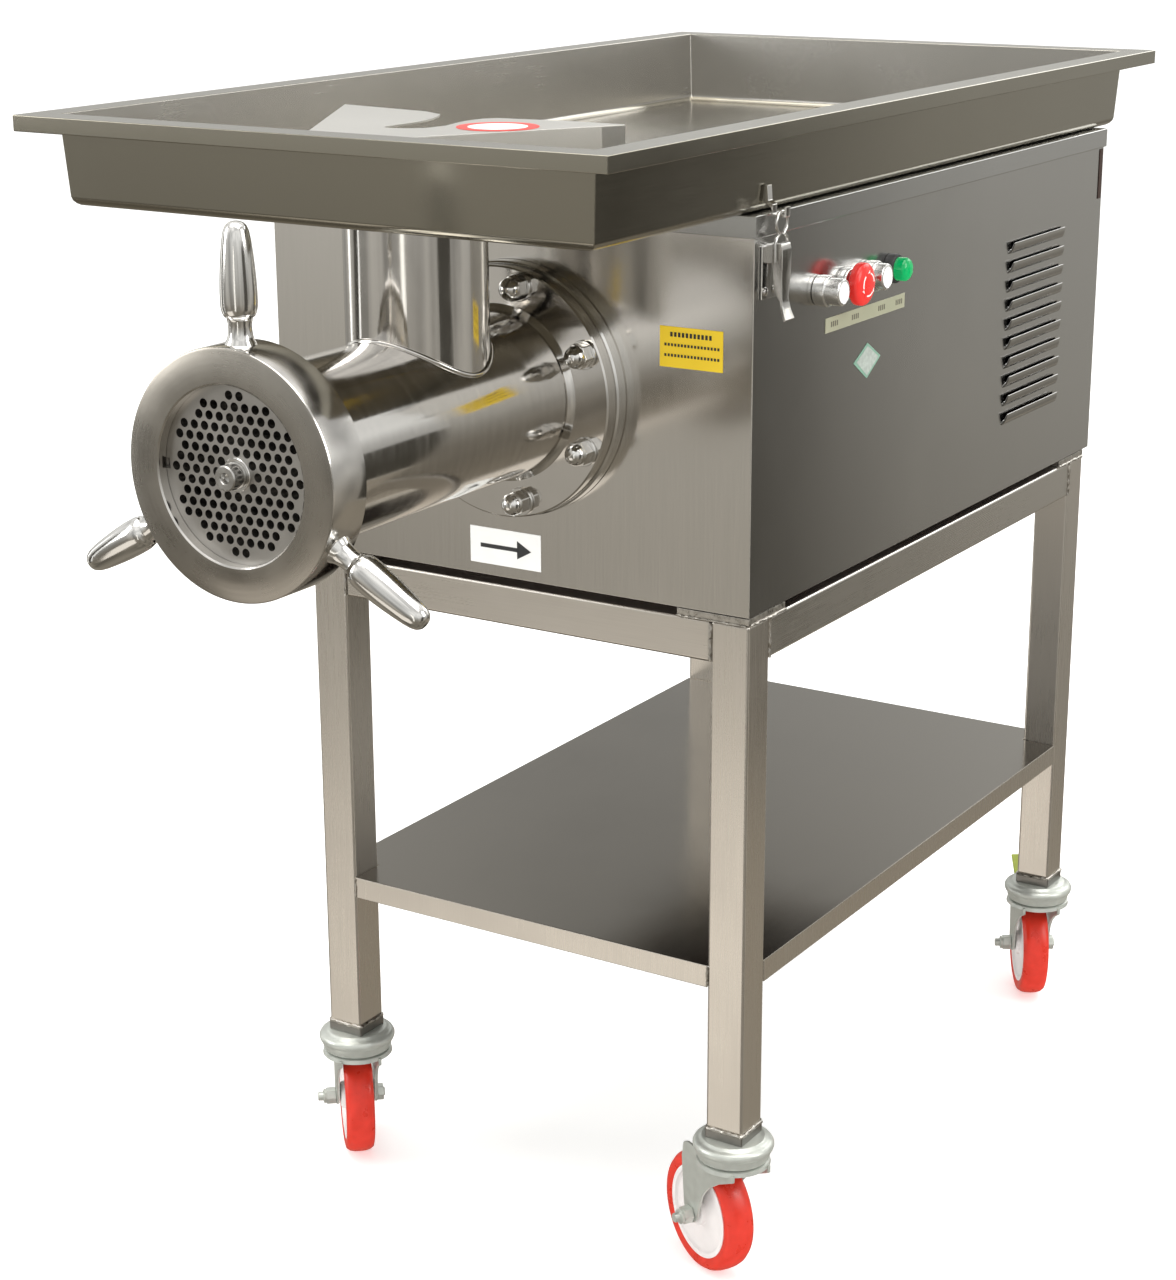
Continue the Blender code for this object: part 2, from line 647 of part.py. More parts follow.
# Feed tray: one folded pan with a turned-down rim and a neck that drops into the throat
def tray_part():
    inner = SHEET
    flat = (*BODY_X, *BODY_Y)
    rim = (*RIM_X, *RIM_Y)

    def grown(rect, by):
        return (rect[0] - by, rect[1] + by, rect[2] - by, rect[3] + by)

    levels = [
        (grown(flat, -FLOOR_IN - 4), TRAY_BOTTOM),
        (grown(flat, -FLOOR_IN), TRAY_BOTTOM + 4),
        (flat, RIM_TOP - inner),
        (grown(rim, -inner), RIM_TOP - inner),
        (grown(rim, -inner), RIM_TOP - RIM_LIP),
        (rim, RIM_TOP - RIM_LIP),
        (rim, RIM_TOP),
        (grown(flat, -inner), RIM_TOP),
        (grown(flat, -FLOOR_IN - inner), TRAY_BOTTOM + 5),
        (grown(flat, -FLOOR_IN - inner - 3), TRAY_BOTTOM + inner),
    ]
    bm = bmesh.new()
    loops = []
    for rect, z in levels:
        spots = ((rect[0], rect[2]), (rect[1], rect[2]), (rect[1], rect[3]), (rect[0], rect[3]))
        loops.append([bm.verts.new((x, y, z)) for x, y in spots])
    for first, second in zip(loops, loops[1:]):
        for i in range(4):
            j = (i + 1) % 4
            bm.faces.new((first[i], first[j], second[j], second[i]))
    bm.faces.new(loops[0])
    bm.faces.new(loops[-1])
    return bm


tray = place("tray", tray_part(), SATIN)
neck_outer = THROAT_BORE - 1.0
catch_outline = [
    (BODY_X[1] - 5.7, 1068),
    (254, 1068),
    (254, 1059.2),
    (269.4, 1059.2),
    (269.4, 1068.5),
    (267.4, 1068.5),
    (267.4, 1061.4),
    (256.2, 1061.4),
    (256.2, 1070.2),
    (249, 1086),
    (BODY_X[1] - 4.6, 1086),
]
catch = place("catch", prism(catch_outline, LATCH_Y - 4, LATCH_Y + 4, "Y"), None, helper=True)
join(tray, catch, "UNION")
neck = rod(neck_outer, TRAY_BOTTOM - 26, TRAY_BOTTOM + 1, "Z", 40, throat_offset)
join(tray, place("neck", neck, None, helper=True), "UNION")
neck_hole = rod(neck_outer - SHEET, TRAY_BOTTOM - 40, TRAY_BOTTOM + 20, "Z", 40, throat_offset)
join(tray, place("neck_hole", neck_hole, None, helper=True), "DIFFERENCE")

# Throat guard: a cover plate with a front flange, standing askew on three feet in the tray
guard_top = 1130.6
guard_outline = [
    (-64, -246),
    (-100, -177),
    (-227, 46),
    (-118, 29),
    (-87, 7),
    (-77, -16),
    (-72, -59),
    (-74, -94),
    (-62, -106),
    (-33, -90),
    (-29, -66),
    (-37, -24),
    (-35, -1),
    (-25, 12),
    (47, 22),
    (106, 21),
    (-15, -180),
    (-54, -245),
]
guard = place("guard", prism(guard_outline, guard_top - SHEET, guard_top, "Z"), SATIN)
fold_low = Vector((-54, -245))
fold_high = Vector((106, 21))
fold = (fold_high - fold_low).normalized()
fold_in = Vector((-fold.y, fold.x))
floor_z = TRAY_BOTTOM + SHEET + GAP


def fold_strip(start, end, low):
    a = fold_low + fold * start
    b = fold_low + fold * end
    outline = [a, b, b + fold_in * SHEET, a + fold_in * SHEET]
    return prism([(p.x, p.y) for p in outline], low, guard_top - 0.5, "Z")


fold_length = (fold_high - fold_low).length
join(guard, place("flange", fold_strip(0, fold_length, guard_top - 30), None, helper=True), "UNION")
join(guard, place("foot_a", fold_strip(fold_length - 24, fold_length, floor_z), None, helper=True), "UNION")
foot_b = fold_strip(0, 22, floor_z)
join(guard, place("foot_b", foot_b, None, helper=True), "UNION")
foot_c = prism([(-222, 40), (-219, 38), (-207, 17), (-210, 15)], floor_z, guard_top - 0.5, "Z")
join(guard, place("foot_c", foot_c, None, helper=True), "UNION")

# Latch between the housing and the tray
latch_base = place(
    "latch_base",
    box((HOUSING_RIGHT + GAP, HOUSING_RIGHT + 2.3), (LATCH_Y - 14.5, LATCH_Y + 14.5), (987, 1034)),
    POLISHED,
)
ear_outline = [(251, 1018), (251, 1034), (259, 1035.4), (263, 1035.4), (265.4, 1034.4)]
ear_outline += [(266.4, 1032), (265.4, 1029.6), (262, 1020)]
for side, low in (("a", -5.5), ("b", 3.5)):
    ear = prism(ear_outline, LATCH_Y + low, LATCH_Y + low + 2, "Y")
    join(latch_base, place("ear_" + side, ear, None, helper=True), "UNION")
lever_outline = [
    (-2.5, 4.5),
    (4.5, 4.5),
    (6, -2),
    (5, -44),
    (10, -62),
    (8, -63.5),
    (2, -46),
    (-3, -40),
    (-4.5, -12),
    (-4.5, -2),
]
lever = place(
    "latch_lever", prism(lever_outline, -8.5, 8.5, "Y"), POLISHED, (LATCH_X, LATCH_Y, LATCH_Z)
)
channel = box((-20, 3.6), (-6.2, 6.2), (-41, 20))
channel_part = place("channel", channel, None, (LATCH_X, LATCH_Y, LATCH_Z), helper=True)
join(lever, channel_part, "DIFFERENCE")


def wire(name, path, radius, look, location):
    """A round wire through points in millimetres, as a curve with its own thickness."""
    curve = bpy.data.curves.new(name, "CURVE")
    curve.dimensions = "3D"
    curve.bevel_depth = radius * MM
    curve.bevel_resolution = 1
    curve.use_fill_caps = True
    line = curve.splines.new("POLY")
    line.points.add(len(path) - 1)
    for spot, point in zip(line.points, path):
        spot.co = (*(Vector(point) * MM), 1)
    curve.materials.append(material(name + "_look", *look))
    obj = bpy.data.objects.new(name, curve)
    parts.objects.link(obj)
    obj.parent = machine
    obj.location = Vector(location) * MM
    return obj


# The hook is one wire: it comes up from both sides of the lever and closes in an eye over the catch
hook_half = [(0, 10.8, -1.2), (0, 10.8, 16.5), (0, 9.4, 19), (0, 3.6, 22.2)]
hook_half += [
    (0, EYE_RADIUS * math.cos(angle), EYE_HEIGHT + EYE_RADIUS * math.sin(angle))
    for angle in (math.radians(-60 + 15 * i) for i in range(10))
]
hook_path = hook_half + [(0, 0, EYE_HEIGHT + EYE_RADIUS)]
hook_path += [(x, -y, z) for x, y, z in reversed(hook_half)]
wire("latch_hook", hook_path, WIRE_RADIUS, POLISHED, (LATCH_X, LATCH_Y, LATCH_Z - LATCH_ARM))

# Controls: a bezel for each button, the buttons and the lamp
face_x = HOUSING_RIGHT + GAP
start_at = (face_x, CONTROL_Y["start"], CONTROL_Z)
bezel = [(BEZEL_BORE, 0), (14, 0), (14, 4), (14.5, 4), (14.5, 12), (13.9, 13), (BEZEL_BORE, 13)]
place("start_bezel", lathe(bezel, "X", 24), POLISHED, start_at)
button = [(0, 2), (CAP_RADIUS, 2), (CAP_RADIUS, 25.5), (CAP_RADIUS - 1.2, 26.7), (0, 26.7)]
place("start_button", lathe(button, "X", 24), POLISHED, start_at)
reverse_at = (face_x, CONTROL_Y["reverse"], CONTROL_Z)
place("reverse_bezel", lathe(bezel, "X", 24), POLISHED, reverse_at)
button = [(0, 2), (CAP_RADIUS, 2), (CAP_RADIUS, 21.2), (CAP_RADIUS - 1.2, 22.4), (0, 22.4)]
place("reverse_button", lathe(button, "X", 24), POLISHED, reverse_at)
stop_at = (face_x, CONTROL_Y["stop"], CONTROL_Z)
stop_bore = STOP_STEM + 0.4
stop_bezel = [(stop_bore, 0), (14.5, 0), (14.5, 9), (13.5, 10), (stop_bore, 10)]
place("stop_bezel", lathe(stop_bezel, "X", 24), POLISHED, stop_at)
mushroom = [(0, 1), (STOP_STEM, 1), (STOP_STEM, 14.5), (19, 14.5), (20, 16.5), (20, 22)]
mushroom += [(18, 25), (12, 27), (0, 27.6)]
place("stop_mushroom", lathe(mushroom, "X", 24), RED_CAP, stop_at)
lamp = [(0, 0), (14, 0), (14, 9), (11.5, 10.5), (11.5, 18), (9, 21.5), (0, 22.6)]
place("run_lamp", lathe(lamp, "X", 24), GREEN_LENS, (face_x, CONTROL_Y["lamp"], CONTROL_Z))
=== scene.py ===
"""Looks for the floor-standing electric meat grinder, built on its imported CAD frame."""

import math

import bpy
from mathutils import Matrix, Vector


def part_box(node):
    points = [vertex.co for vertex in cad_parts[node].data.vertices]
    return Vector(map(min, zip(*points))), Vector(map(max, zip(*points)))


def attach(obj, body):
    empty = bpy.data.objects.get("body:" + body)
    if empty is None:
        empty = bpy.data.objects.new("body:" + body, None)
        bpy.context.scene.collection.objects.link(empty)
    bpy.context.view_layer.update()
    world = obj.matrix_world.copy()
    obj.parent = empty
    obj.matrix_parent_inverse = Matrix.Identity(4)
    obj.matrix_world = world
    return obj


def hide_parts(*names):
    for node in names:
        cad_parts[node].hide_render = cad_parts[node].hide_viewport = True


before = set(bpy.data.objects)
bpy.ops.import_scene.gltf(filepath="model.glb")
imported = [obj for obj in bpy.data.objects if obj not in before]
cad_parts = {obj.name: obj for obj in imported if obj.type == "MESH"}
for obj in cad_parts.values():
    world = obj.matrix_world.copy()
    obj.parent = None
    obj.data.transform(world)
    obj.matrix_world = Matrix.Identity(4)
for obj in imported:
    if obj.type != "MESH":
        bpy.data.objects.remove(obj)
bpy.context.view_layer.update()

MM = 0.001
barrel_low, barrel_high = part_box("barrel")
casing_low, casing_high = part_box("casing")
AXIS_X = (barrel_low[0] + barrel_high[0]) / 2
FRONT_Y = casing_low[1]


def at(x, y, z):
    """A place in the machine's own millimetres: x from the barrel's axis, y from the housing's front."""
    return Vector((AXIS_X + x * MM, FRONT_Y + y * MM, z * MM))


def here(point):
    """The machine's own millimetres of a place in the scene."""
    return ((point[0] - AXIS_X) / MM, (point[1] - FRONT_Y) / MM, point[2] / MM)


def node_box(name):
    low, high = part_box(name)
    return here(low), here(high)


# ---------------------------------------------------------------- camera, light and floor

VIEW_TURN = 32.286
VIEW_TILT = 17.225
VIEW_ROLL = -0.277
LENS = 72.61
EYE = at(1323.4, -1972.5, 1373.5)


def set_camera():
    turn, tilt, roll = (math.radians(a) for a in (VIEW_TURN, VIEW_TILT, VIEW_ROLL))
    ahead = Vector((-math.sin(turn) * math.cos(tilt), math.cos(turn) * math.cos(tilt), -math.sin(tilt)))
    right = Vector((math.cos(turn), math.sin(turn), 0))
    up = right.cross(ahead)
    right_rolled = right * math.cos(roll) + up * math.sin(roll)
    up_rolled = up * math.cos(roll) - right * math.sin(roll)
    bpy.ops.object.camera_add()
    camera = bpy.context.object
    camera.name = "camera"
    camera.data.lens = LENS
    camera.data.sensor_width = 36
    camera.data.clip_end = 60
    rows = Matrix((right_rolled, up_rolled, -ahead)).transposed()
    camera.matrix_world = Matrix.Translation(EYE) @ rows.to_4x4()
    bpy.context.scene.camera = camera


def area_light(name, place, target, size, power, color=(1, 1, 1)):
    bpy.ops.object.light_add(type="AREA", location=place)
    light = bpy.context.object
    light.name = name
    light.data.shape = "RECTANGLE"
    light.data.size = size[0]
    light.data.size_y = size[1]
    light.data.energy = power
    light.data.color = color
    light.rotation_euler = (target - Vector(place)).to_track_quat("-Z", "Y").to_euler()
    return light


def flag(name, place, size, target, shade):
    """A dark or bright card that only reflections see."""
    bpy.ops.object.select_all(action="DESELECT")
    bpy.ops.mesh.primitive_plane_add(size=1, location=place)
    card = bpy.context.object
    card.name = name
    card.scale = (size[0], size[1], 1)
    card.rotation_euler = (target - Vector(place)).to_track_quat("Z", "Y").to_euler()
    card.visible_camera = False
    card.visible_diffuse = False
    card.visible_shadow = False
    board = bpy.data.materials.new(name + "_board")
    board.use_nodes = True
    front = board.node_tree.nodes["Principled BSDF"]
    front.inputs["Base Color"].default_value = (0, 0, 0, 1)
    front.inputs["Roughness"].default_value = 1
    front.inputs["Emission Color"].default_value = (*shade, 1)
    front.inputs["Emission Strength"].default_value = 1
    card.data.materials.append(board)


def set_studio():
    middle = at(0, 300, 800)
    flag("low_right_flag", (1.9, 3.0, -1.5), (3.6, 1.3), at(250, 400, 350), (0.30, 0.265, 0.21))
    flag("right_flag", (2.35, 2.8, 0.05), (1.1, 1.5), at(250, 0, 850), (0.05, 0.045, 0.035))
    flag("low_front_card", (-1.5, -3.4, -1.6), (2.6, 1.7), at(230, 0, 300), (1.05, 0.98, 0.88))
    flag("window_card", (1.62, 2.56, 2.8), (1.0, 0.6), at(70, -300, 885), (4.6, 4.6, 4.5))
    flag("doorway_card", (2.25, 3.3, 1.75), (0.45, 1.0), at(70, -300, 885), (1.7, 1.66, 1.55))
    flag("far_left_card", (-3.65, -1.95, 0.27), (0.35, 2.4), at(0, -155, 980), (2.0, 2.0, 1.95))
    flag("near_card", (1.05, -4.2, 0.27), (0.4, 2.4), at(0, -155, 980), (1.7, 1.66, 1.55))
    flag("near_right_flag", (3.9, -1.07, 0.27), (1.5, 2.6), at(0, -155, 980), (0.06, 0.055, 0.045))
    flag("left_card", (-4.0, -0.2, 0.35), (0.5, 2.6), at(0, -155, 980), (1.9, 1.9, 1.85))
    flag("left_dark", (-3.4, -1.5, 0.35), (0.7, 2.6), at(0, -155, 980), (0.06, 0.055, 0.045))
    area_light("ceiling_light", (0.2, -0.6, 4.2), middle, (4.5, 3.0), 130, (1, 0.98, 0.95))
    area_light("left_light", (-3.6, -2.6, 2.2), middle, (1.6, 2.6), 60, (1, 0.99, 0.97))
    area_light("right_light", (3.8, 0.4, 2.6), middle, (1.4, 2.4), 45, (1, 0.98, 0.95))
    area_light("rear_light", (0.6, 4.4, 2.8), middle, (3.0, 1.6), 40)

    world = bpy.data.worlds.new("room")
    bpy.context.scene.world = world
    world.use_nodes = True
    nodes = world.node_tree.nodes
    links = world.node_tree.links
    coords = nodes.new("ShaderNodeTexCoord")
    split = nodes.new("ShaderNodeSeparateXYZ")
    ramp = nodes.new("ShaderNodeValToRGB")
    lift = nodes.new("ShaderNodeMath")
    lift.operation = "MULTIPLY_ADD"
    lift.inputs[1].default_value = 0.5
    lift.inputs[2].default_value = 0.5
    stops = (
        (0.0, (0.20, 0.18, 0.145)),
        (0.22, (0.24, 0.215, 0.175)),
        (0.36, (0.36, 0.335, 0.29)),
        (0.46, (0.48, 0.47, 0.44)),
        (0.60, (0.78, 0.78, 0.76)),
        (1.0, (1.0, 0.99, 0.97)),
    )
    while len(ramp.color_ramp.elements) < len(stops):
        ramp.color_ramp.elements.new(0.5)
    for element, (place, color) in zip(ramp.color_ramp.elements, stops):
        element.position = place
        element.color = (*color, 1)
    patches = nodes.new("ShaderNodeTexNoise")
    patches.inputs["Scale"].default_value = 2.2
    patches.inputs["Detail"].default_value = 2
    contrast = nodes.new("ShaderNodeMapRange")
    contrast.inputs["From Min"].default_value = 0.35
    contrast.inputs["From Max"].default_value = 0.65
    contrast.inputs["To Min"].default_value = 0.62
    contrast.inputs["To Max"].default_value = 1.32
    tint = nodes.new("ShaderNodeMixRGB")
    tint.blend_type = "MULTIPLY"
    tint.inputs[0].default_value = 1
    shader = nodes["Background"]
    links.new(coords.outputs["Generated"], split.inputs[0])
    links.new(split.outputs["Z"], lift.inputs[0])
    links.new(lift.outputs[0], ramp.inputs[0])
    links.new(coords.outputs["Generated"], patches.inputs["Vector"])
    links.new(patches.outputs["Fac"], contrast.inputs["Value"])
    links.new(ramp.outputs["Color"], tint.inputs[1])
    links.new(contrast.outputs[0], tint.inputs[2])
    links.new(tint.outputs["Color"], shader.inputs["Color"])
    shader.inputs["Strength"].default_value = 1.0

    bpy.ops.object.select_all(action="DESELECT")
    bpy.ops.mesh.primitive_plane_add(size=60, location=(0, 10, -0.0005))
    floor = bpy.context.object
    floor.name = "studio_floor"
    floor.visible_glossy = False
    paint = bpy.data.materials.new("pale_floor")
    paint.use_nodes = True
    paint.node_tree.nodes["Principled BSDF"].inputs["Base Color"].default_value = (0.86, 0.86, 0.85, 1)
    paint.node_tree.nodes["Principled BSDF"].inputs["Roughness"].default_value = 0.9
    paint.node_tree.nodes["Principled BSDF"].inputs["Emission Color"].default_value = (1, 1, 1, 1)
    paint.node_tree.nodes["Principled BSDF"].inputs["Emission Strength"].default_value = 0.45
    floor.data.materials.append(paint)
    bpy.context.scene.view_settings.view_transform = "Standard"


set_camera()
set_studio()

# ---------------------------------------------------------------- finishes


def new_finish(name):
    made = bpy.data.materials.new(name)
    made.use_nodes = True
    return made, made.node_tree.nodes, made.node_tree.links, made.node_tree.nodes["Principled BSDF"]


def noise(nodes, links, scale, stretch=(1, 1, 1), detail=3.0, turn=(0, 0, 0)):
    """Noise on the piece's own coordinates, stretched to make grain or left even for smudges."""
    coords = nodes.new("ShaderNodeTexCoord")
    mapping = nodes.new("ShaderNodeMapping")
    mapping.inputs["Scale"].default_value = stretch
    mapping.inputs["Rotation"].default_value = turn
    texture = nodes.new("ShaderNodeTexNoise")
    texture.inputs["Scale"].default_value = scale
    texture.inputs["Detail"].default_value = detail
    links.new(coords.outputs["Object"], mapping.inputs["Vector"])
    links.new(mapping.outputs["Vector"], texture.inputs["Vector"])
    return texture.outputs["Fac"]


def spread(nodes, links, value, low, high, start=0.3, end=0.7):
    ranged = nodes.new("ShaderNodeMapRange")
    ranged.inputs["From Min"].default_value = start
    ranged.inputs["From Max"].default_value = end
    ranged.inputs["To Min"].default_value = low
    ranged.inputs["To Max"].default_value = high
    links.new(value, ranged.inputs["Value"])
    return ranged.outputs[0]


def combine(nodes, links, first, second, operation="ADD"):
    both = nodes.new("ShaderNodeMath")
    both.operation = operation
    links.new(first, both.inputs[0])
    links.new(second, both.inputs[1])
    return both.outputs[0]


def two_tones(nodes, links, value, dark, light):
    mix = nodes.new("ShaderNodeMixRGB")
    mix.inputs[1].default_value = (*dark, 1)
    mix.inputs[2].default_value = (*light, 1)
    links.new(value, mix.inputs[0])
    return mix.outputs[0]


def add_bump(nodes, links, shader, value, strength, distance=0.001):
    bump = nodes.new("ShaderNodeBump")
    bump.inputs["Strength"].default_value = strength
    bump.inputs["Distance"].default_value = distance
    links.new(value, bump.inputs["Height"])
    links.new(bump.outputs["Normal"], shader.inputs["Normal"])


GRAIN = {"X": (1, 90, 90), "Y": (90, 1, 90), "Z": (90, 90, 1)}


def brushed(name, tone, roughness, along, grain=0.06, smudge=0.05, bump=0.05):
    """Stainless sheet or tube with a fine grain along one axis and faint hand marks."""
    made, nodes, links, shader = new_finish(name)
    lines = noise(nodes, links, 16, GRAIN[along], 5)
    marks = noise(nodes, links, 5, detail=5)
    light = tuple(min(1, c * 1.02) for c in tone)
    dark = tuple(c * 0.97 for c in tone)
    links.new(two_tones(nodes, links, spread(nodes, links, lines, 0, 1), dark, light), shader.inputs["Base Color"])
    fine = spread(nodes, links, lines, roughness - grain, roughness + grain)
    wide = spread(nodes, links, marks, -smudge, smudge)
    links.new(combine(nodes, links, fine, wide), shader.inputs["Roughness"])
    shader.inputs["Metallic"].default_value = 1
    add_bump(nodes, links, shader, lines, bump, 0.0004)
    return made


def polished(name, tone, roughness=0.09, wave=0.05):
    """Mirror-like steel whose reflections swim a little, with faint wipe marks."""
    made, nodes, links, shader = new_finish(name)
    swim = noise(nodes, links, 7, detail=1)
    marks = noise(nodes, links, 30, (1, 4, 1), 4)
    shade = spread(nodes, links, marks, 0, 1)
    links.new(
        two_tones(nodes, links, shade, tuple(c * 0.94 for c in tone), tone), shader.inputs["Base Color"]
    )
    links.new(spread(nodes, links, marks, roughness, roughness + 0.07), shader.inputs["Roughness"])
    shader.inputs["Metallic"].default_value = 1
    add_bump(nodes, links, shader, swim, wave, 0.02)
    return made


def turned_finish(name, tone, roughness, centre, pitch=0.0009, bump=0.12):
    """Machined steel with the fine rings that a lathe leaves round the Y axis."""
    made, nodes, links, shader = new_finish(name)
    coords = nodes.new("ShaderNodeTexCoord")
    mapping = nodes.new("ShaderNodeMapping")
    mapping.vector_type = "POINT"
    mapping.inputs["Location"].default_value = (-centre[0], -centre[1], -centre[2])
    rings = nodes.new("ShaderNodeTexWave")
    rings.wave_type = "RINGS"
    rings.rings_direction = "Y"
    rings.inputs["Scale"].default_value = 0.314 / pitch / 6.283 * 2
    rings.inputs["Distortion"].default_value = 0.6
    rings.inputs["Detail"].default_value = 3
    links.new(coords.outputs["Object"], mapping.inputs["Vector"])
    links.new(mapping.outputs["Vector"], rings.inputs["Vector"])
    lines = rings.outputs["Fac"]
    marks = noise(nodes, links, 22, detail=5)
    shade = spread(nodes, links, marks, 0, 1)
    links.new(
        two_tones(nodes, links, shade, tuple(c * 0.86 for c in tone), tone), shader.inputs["Base Color"]
    )
    fine = spread(nodes, links, lines, roughness - 0.012, roughness + 0.012, 0, 1)
    wide = spread(nodes, links, marks, -0.05, 0.06)
    links.new(combine(nodes, links, fine, wide), shader.inputs["Roughness"])
    shader.inputs["Metallic"].default_value = 1
    add_bump(nodes, links, shader, lines, bump, 0.0003)
    return made


def speckled(name, color, roughness, metallic=0.0, scale=60, depth=0.12, bump=0.05, tint=0.85):
    """Paint, plastic, casting or plating with a fine uneven surface."""
    made, nodes, links, shader = new_finish(name)
    grains = noise(nodes, links, scale, detail=6)
    shade = spread(nodes, links, grains, 0, 1)
    links.new(
        two_tones(nodes, links, shade, tuple(c * tint for c in color), color), shader.inputs["Base Color"]
    )
    links.new(spread(nodes, links, grains, roughness - depth / 2, roughness + depth), shader.inputs["Roughness"])
    shader.inputs["Metallic"].default_value = metallic
    add_bump(nodes, links, shader, grains, bump, 0.0005)
    return made


head_centre = at(0, 0, 885)
SIDE_STEEL = brushed("side_panel_steel", (0.52, 0.515, 0.50), 0.20, "Z", 0.012, 0.03, 0.001)
FRONT_STEEL = brushed("front_panel_steel", (0.72, 0.70, 0.665), 0.15, "Z", 0.012, 0.03, 0.001)
LID_STEEL = brushed("lid_steel", (0.54, 0.54, 0.53), 0.20, "Y", 0.012, 0.03, 0.001)
TRAY_WALL_STEEL = brushed("tray_wall_steel", (0.50, 0.485, 0.455), 0.25, "Y", 0.012, 0.03, 0.001)
# painted shade: a darker, browner copy of the tray steel for the tray's floor, rim, outer walls and neck
TRAY_SHADE_STEEL = brushed("tray_steel_painted_shade", (0.36, 0.34, 0.285), 0.20, "Y", 0.015, 0.03, 0.002)
GUARD_STEEL = brushed("guard_steel", (0.60, 0.59, 0.56), 0.42, "X", 0.02, 0.04, 0.01)
# painted shade: a dark copy of the stainless steel for the shelf, which lies in shade under the machine
SHELF_SHADE_STEEL = brushed("shelf_steel_painted_shade", (0.175, 0.16, 0.135), 0.18, "Y", 0.02, 0.05, 0.006)
LEG_STEEL = brushed("leg_steel", (0.74, 0.70, 0.645), 0.30, "Z", 0.04, 0.05, 0.02)
RAIL_STEEL_X = brushed("cross_rail_steel", (0.74, 0.70, 0.645), 0.30, "X", 0.04, 0.05, 0.02)
RAIL_STEEL_Y = brushed("side_rail_steel", (0.68, 0.655, 0.61), 0.30, "Y", 0.04, 0.05, 0.02)
TUBE_STEEL = polished("polished_tube_steel", (0.74, 0.72, 0.69), 0.08)
TRIM_STEEL = polished("polished_trim_steel", (0.78, 0.77, 0.75), 0.10, 0.02)
RING_FACE = turned_finish("ring_face_steel", (0.41, 0.385, 0.345), 0.28, head_centre, 0.0016, 0.01)
RING_SIDE = turned_finish("ring_side_steel", (0.72, 0.70, 0.67), 0.14, head_centre, bump=0.03)
PLATE_STEEL = turned_finish("mincing_plate_steel", (0.52, 0.505, 0.48), 0.34, head_centre, 0.0016, 0.01)
CAST_STEEL = speckled("cast_steel", (0.6, 0.59, 0.57), 0.22, 1.0, 90)
WELD_STEEL = speckled("weld_bead_steel", (0.62, 0.59, 0.54), 0.32, 1.0, 240, 0.2, 0.5, 0.7)
ZINC = speckled("zinc_plating", (0.62, 0.645, 0.60), 0.34, 0.6, 120, 0.12, 0.05, 0.9)
ADAPTER_STEEL = speckled("adapter_steel", (0.30, 0.29, 0.275), 0.34, 1.0, 90, 0.12, 0.08, 0.85)
RED_TREAD = speckled("red_tread", (0.74, 0.030, 0.012), 0.30, 0.0, 70, 0.12, 0.06, 0.82)
WHITE_HUB = speckled("white_hub", (0.80, 0.76, 0.75), 0.42, 0.0, 50, 0.1, 0.04, 0.93)
PEDAL_GREEN = speckled("pedal_green", (0.46, 0.55, 0.08), 0.4, 0.0, 60)
RED_CAP = speckled("red_cap", (0.72, 0.025, 0.02), 0.22, 0.0, 40, 0.06, 0.02, 0.9)
GREEN_LENS = speckled("green_lens", (0.0, 0.42, 0.12), 0.12, 0.0, 40, 0.06, 0.02, 0.8)
DARK_PLASTIC = speckled("dark_plastic", (0.03, 0.03, 0.032), 0.45, 0.0, 80)
WHITE_PRINT = speckled("white_print", (0.86, 0.86, 0.84), 0.5, 0.0, 40, 0.1, 0.02, 0.95)
RED_PRINT = speckled("red_print", (0.72, 0.06, 0.05), 0.45, 0.0, 40, 0.1, 0.02, 0.9)
STRIP_PRINT = speckled("strip_print", (0.12, 0.11, 0.08), 0.5, 0.0, 40)
BLACK_PRINT = speckled("black_print", (0.03, 0.03, 0.03), 0.5, 0.0, 40)
YELLOW_LABEL = speckled("yellow_label", (0.90, 0.62, 0.02), 0.4, 0.0, 50, 0.1, 0.02, 0.94)
BADGE_FACE = speckled("badge_face", (0.42, 0.47, 0.43), 0.4, 0.0, 300, 0.1, 0.02, 0.7)
BUTTON_STEEL = speckled("button_chrome", (0.93, 0.93, 0.92), 0.24, 1.0, 60, 0.06, 0.02, 0.95)
PALE_LABEL = speckled("pale_label", (0.33, 0.33, 0.23), 0.4, 0.0, 50, 0.1, 0.02, 0.95)
MINT_LABEL = speckled("mint_label", (0.20, 0.36, 0.27), 0.4, 0.0, 50, 0.1, 0.02, 0.92)
MOTOR_PAINT = speckled("motor_paint", (0.12, 0.15, 0.18), 0.45, 0.0, 60)
GEAR_STEEL = speckled("gear_steel", (0.36, 0.36, 0.36), 0.3, 1.0, 120)
CASE_IRON = speckled("case_iron", (0.16, 0.17, 0.18), 0.6, 0.4, 140, 0.2, 0.3)
# painted shadow: a near-black finish for pieces that stand only for shadow at gaps
GAP_SHADE = speckled("painted_gap_shadow", (0.045, 0.022, 0.015), 0.7, 0.0, 60)

# ---------------------------------------------------------------- bench tools


def pick(obj):
    bpy.ops.object.select_all(action="DESELECT")
    obj.select_set(True)
    bpy.context.view_layer.objects.active = obj


def open_mesh(obj):
    pick(obj)
    bpy.ops.object.mode_set(mode="EDIT")
    bpy.ops.mesh.select_all(action="SELECT")


def close_mesh():
    bpy.ops.object.mode_set(mode="OBJECT")


def settle(obj):
    pick(obj)
    bpy.ops.object.transform_apply(location=True, rotation=True, scale=True)


def apply_modifier(obj, kind, **settings):
    pick(obj)
    made = obj.modifiers.new(kind.lower(), kind)
    for name, value in settings.items():
        setattr(made, name, value)
    bpy.ops.object.modifier_apply(modifier=made.name)


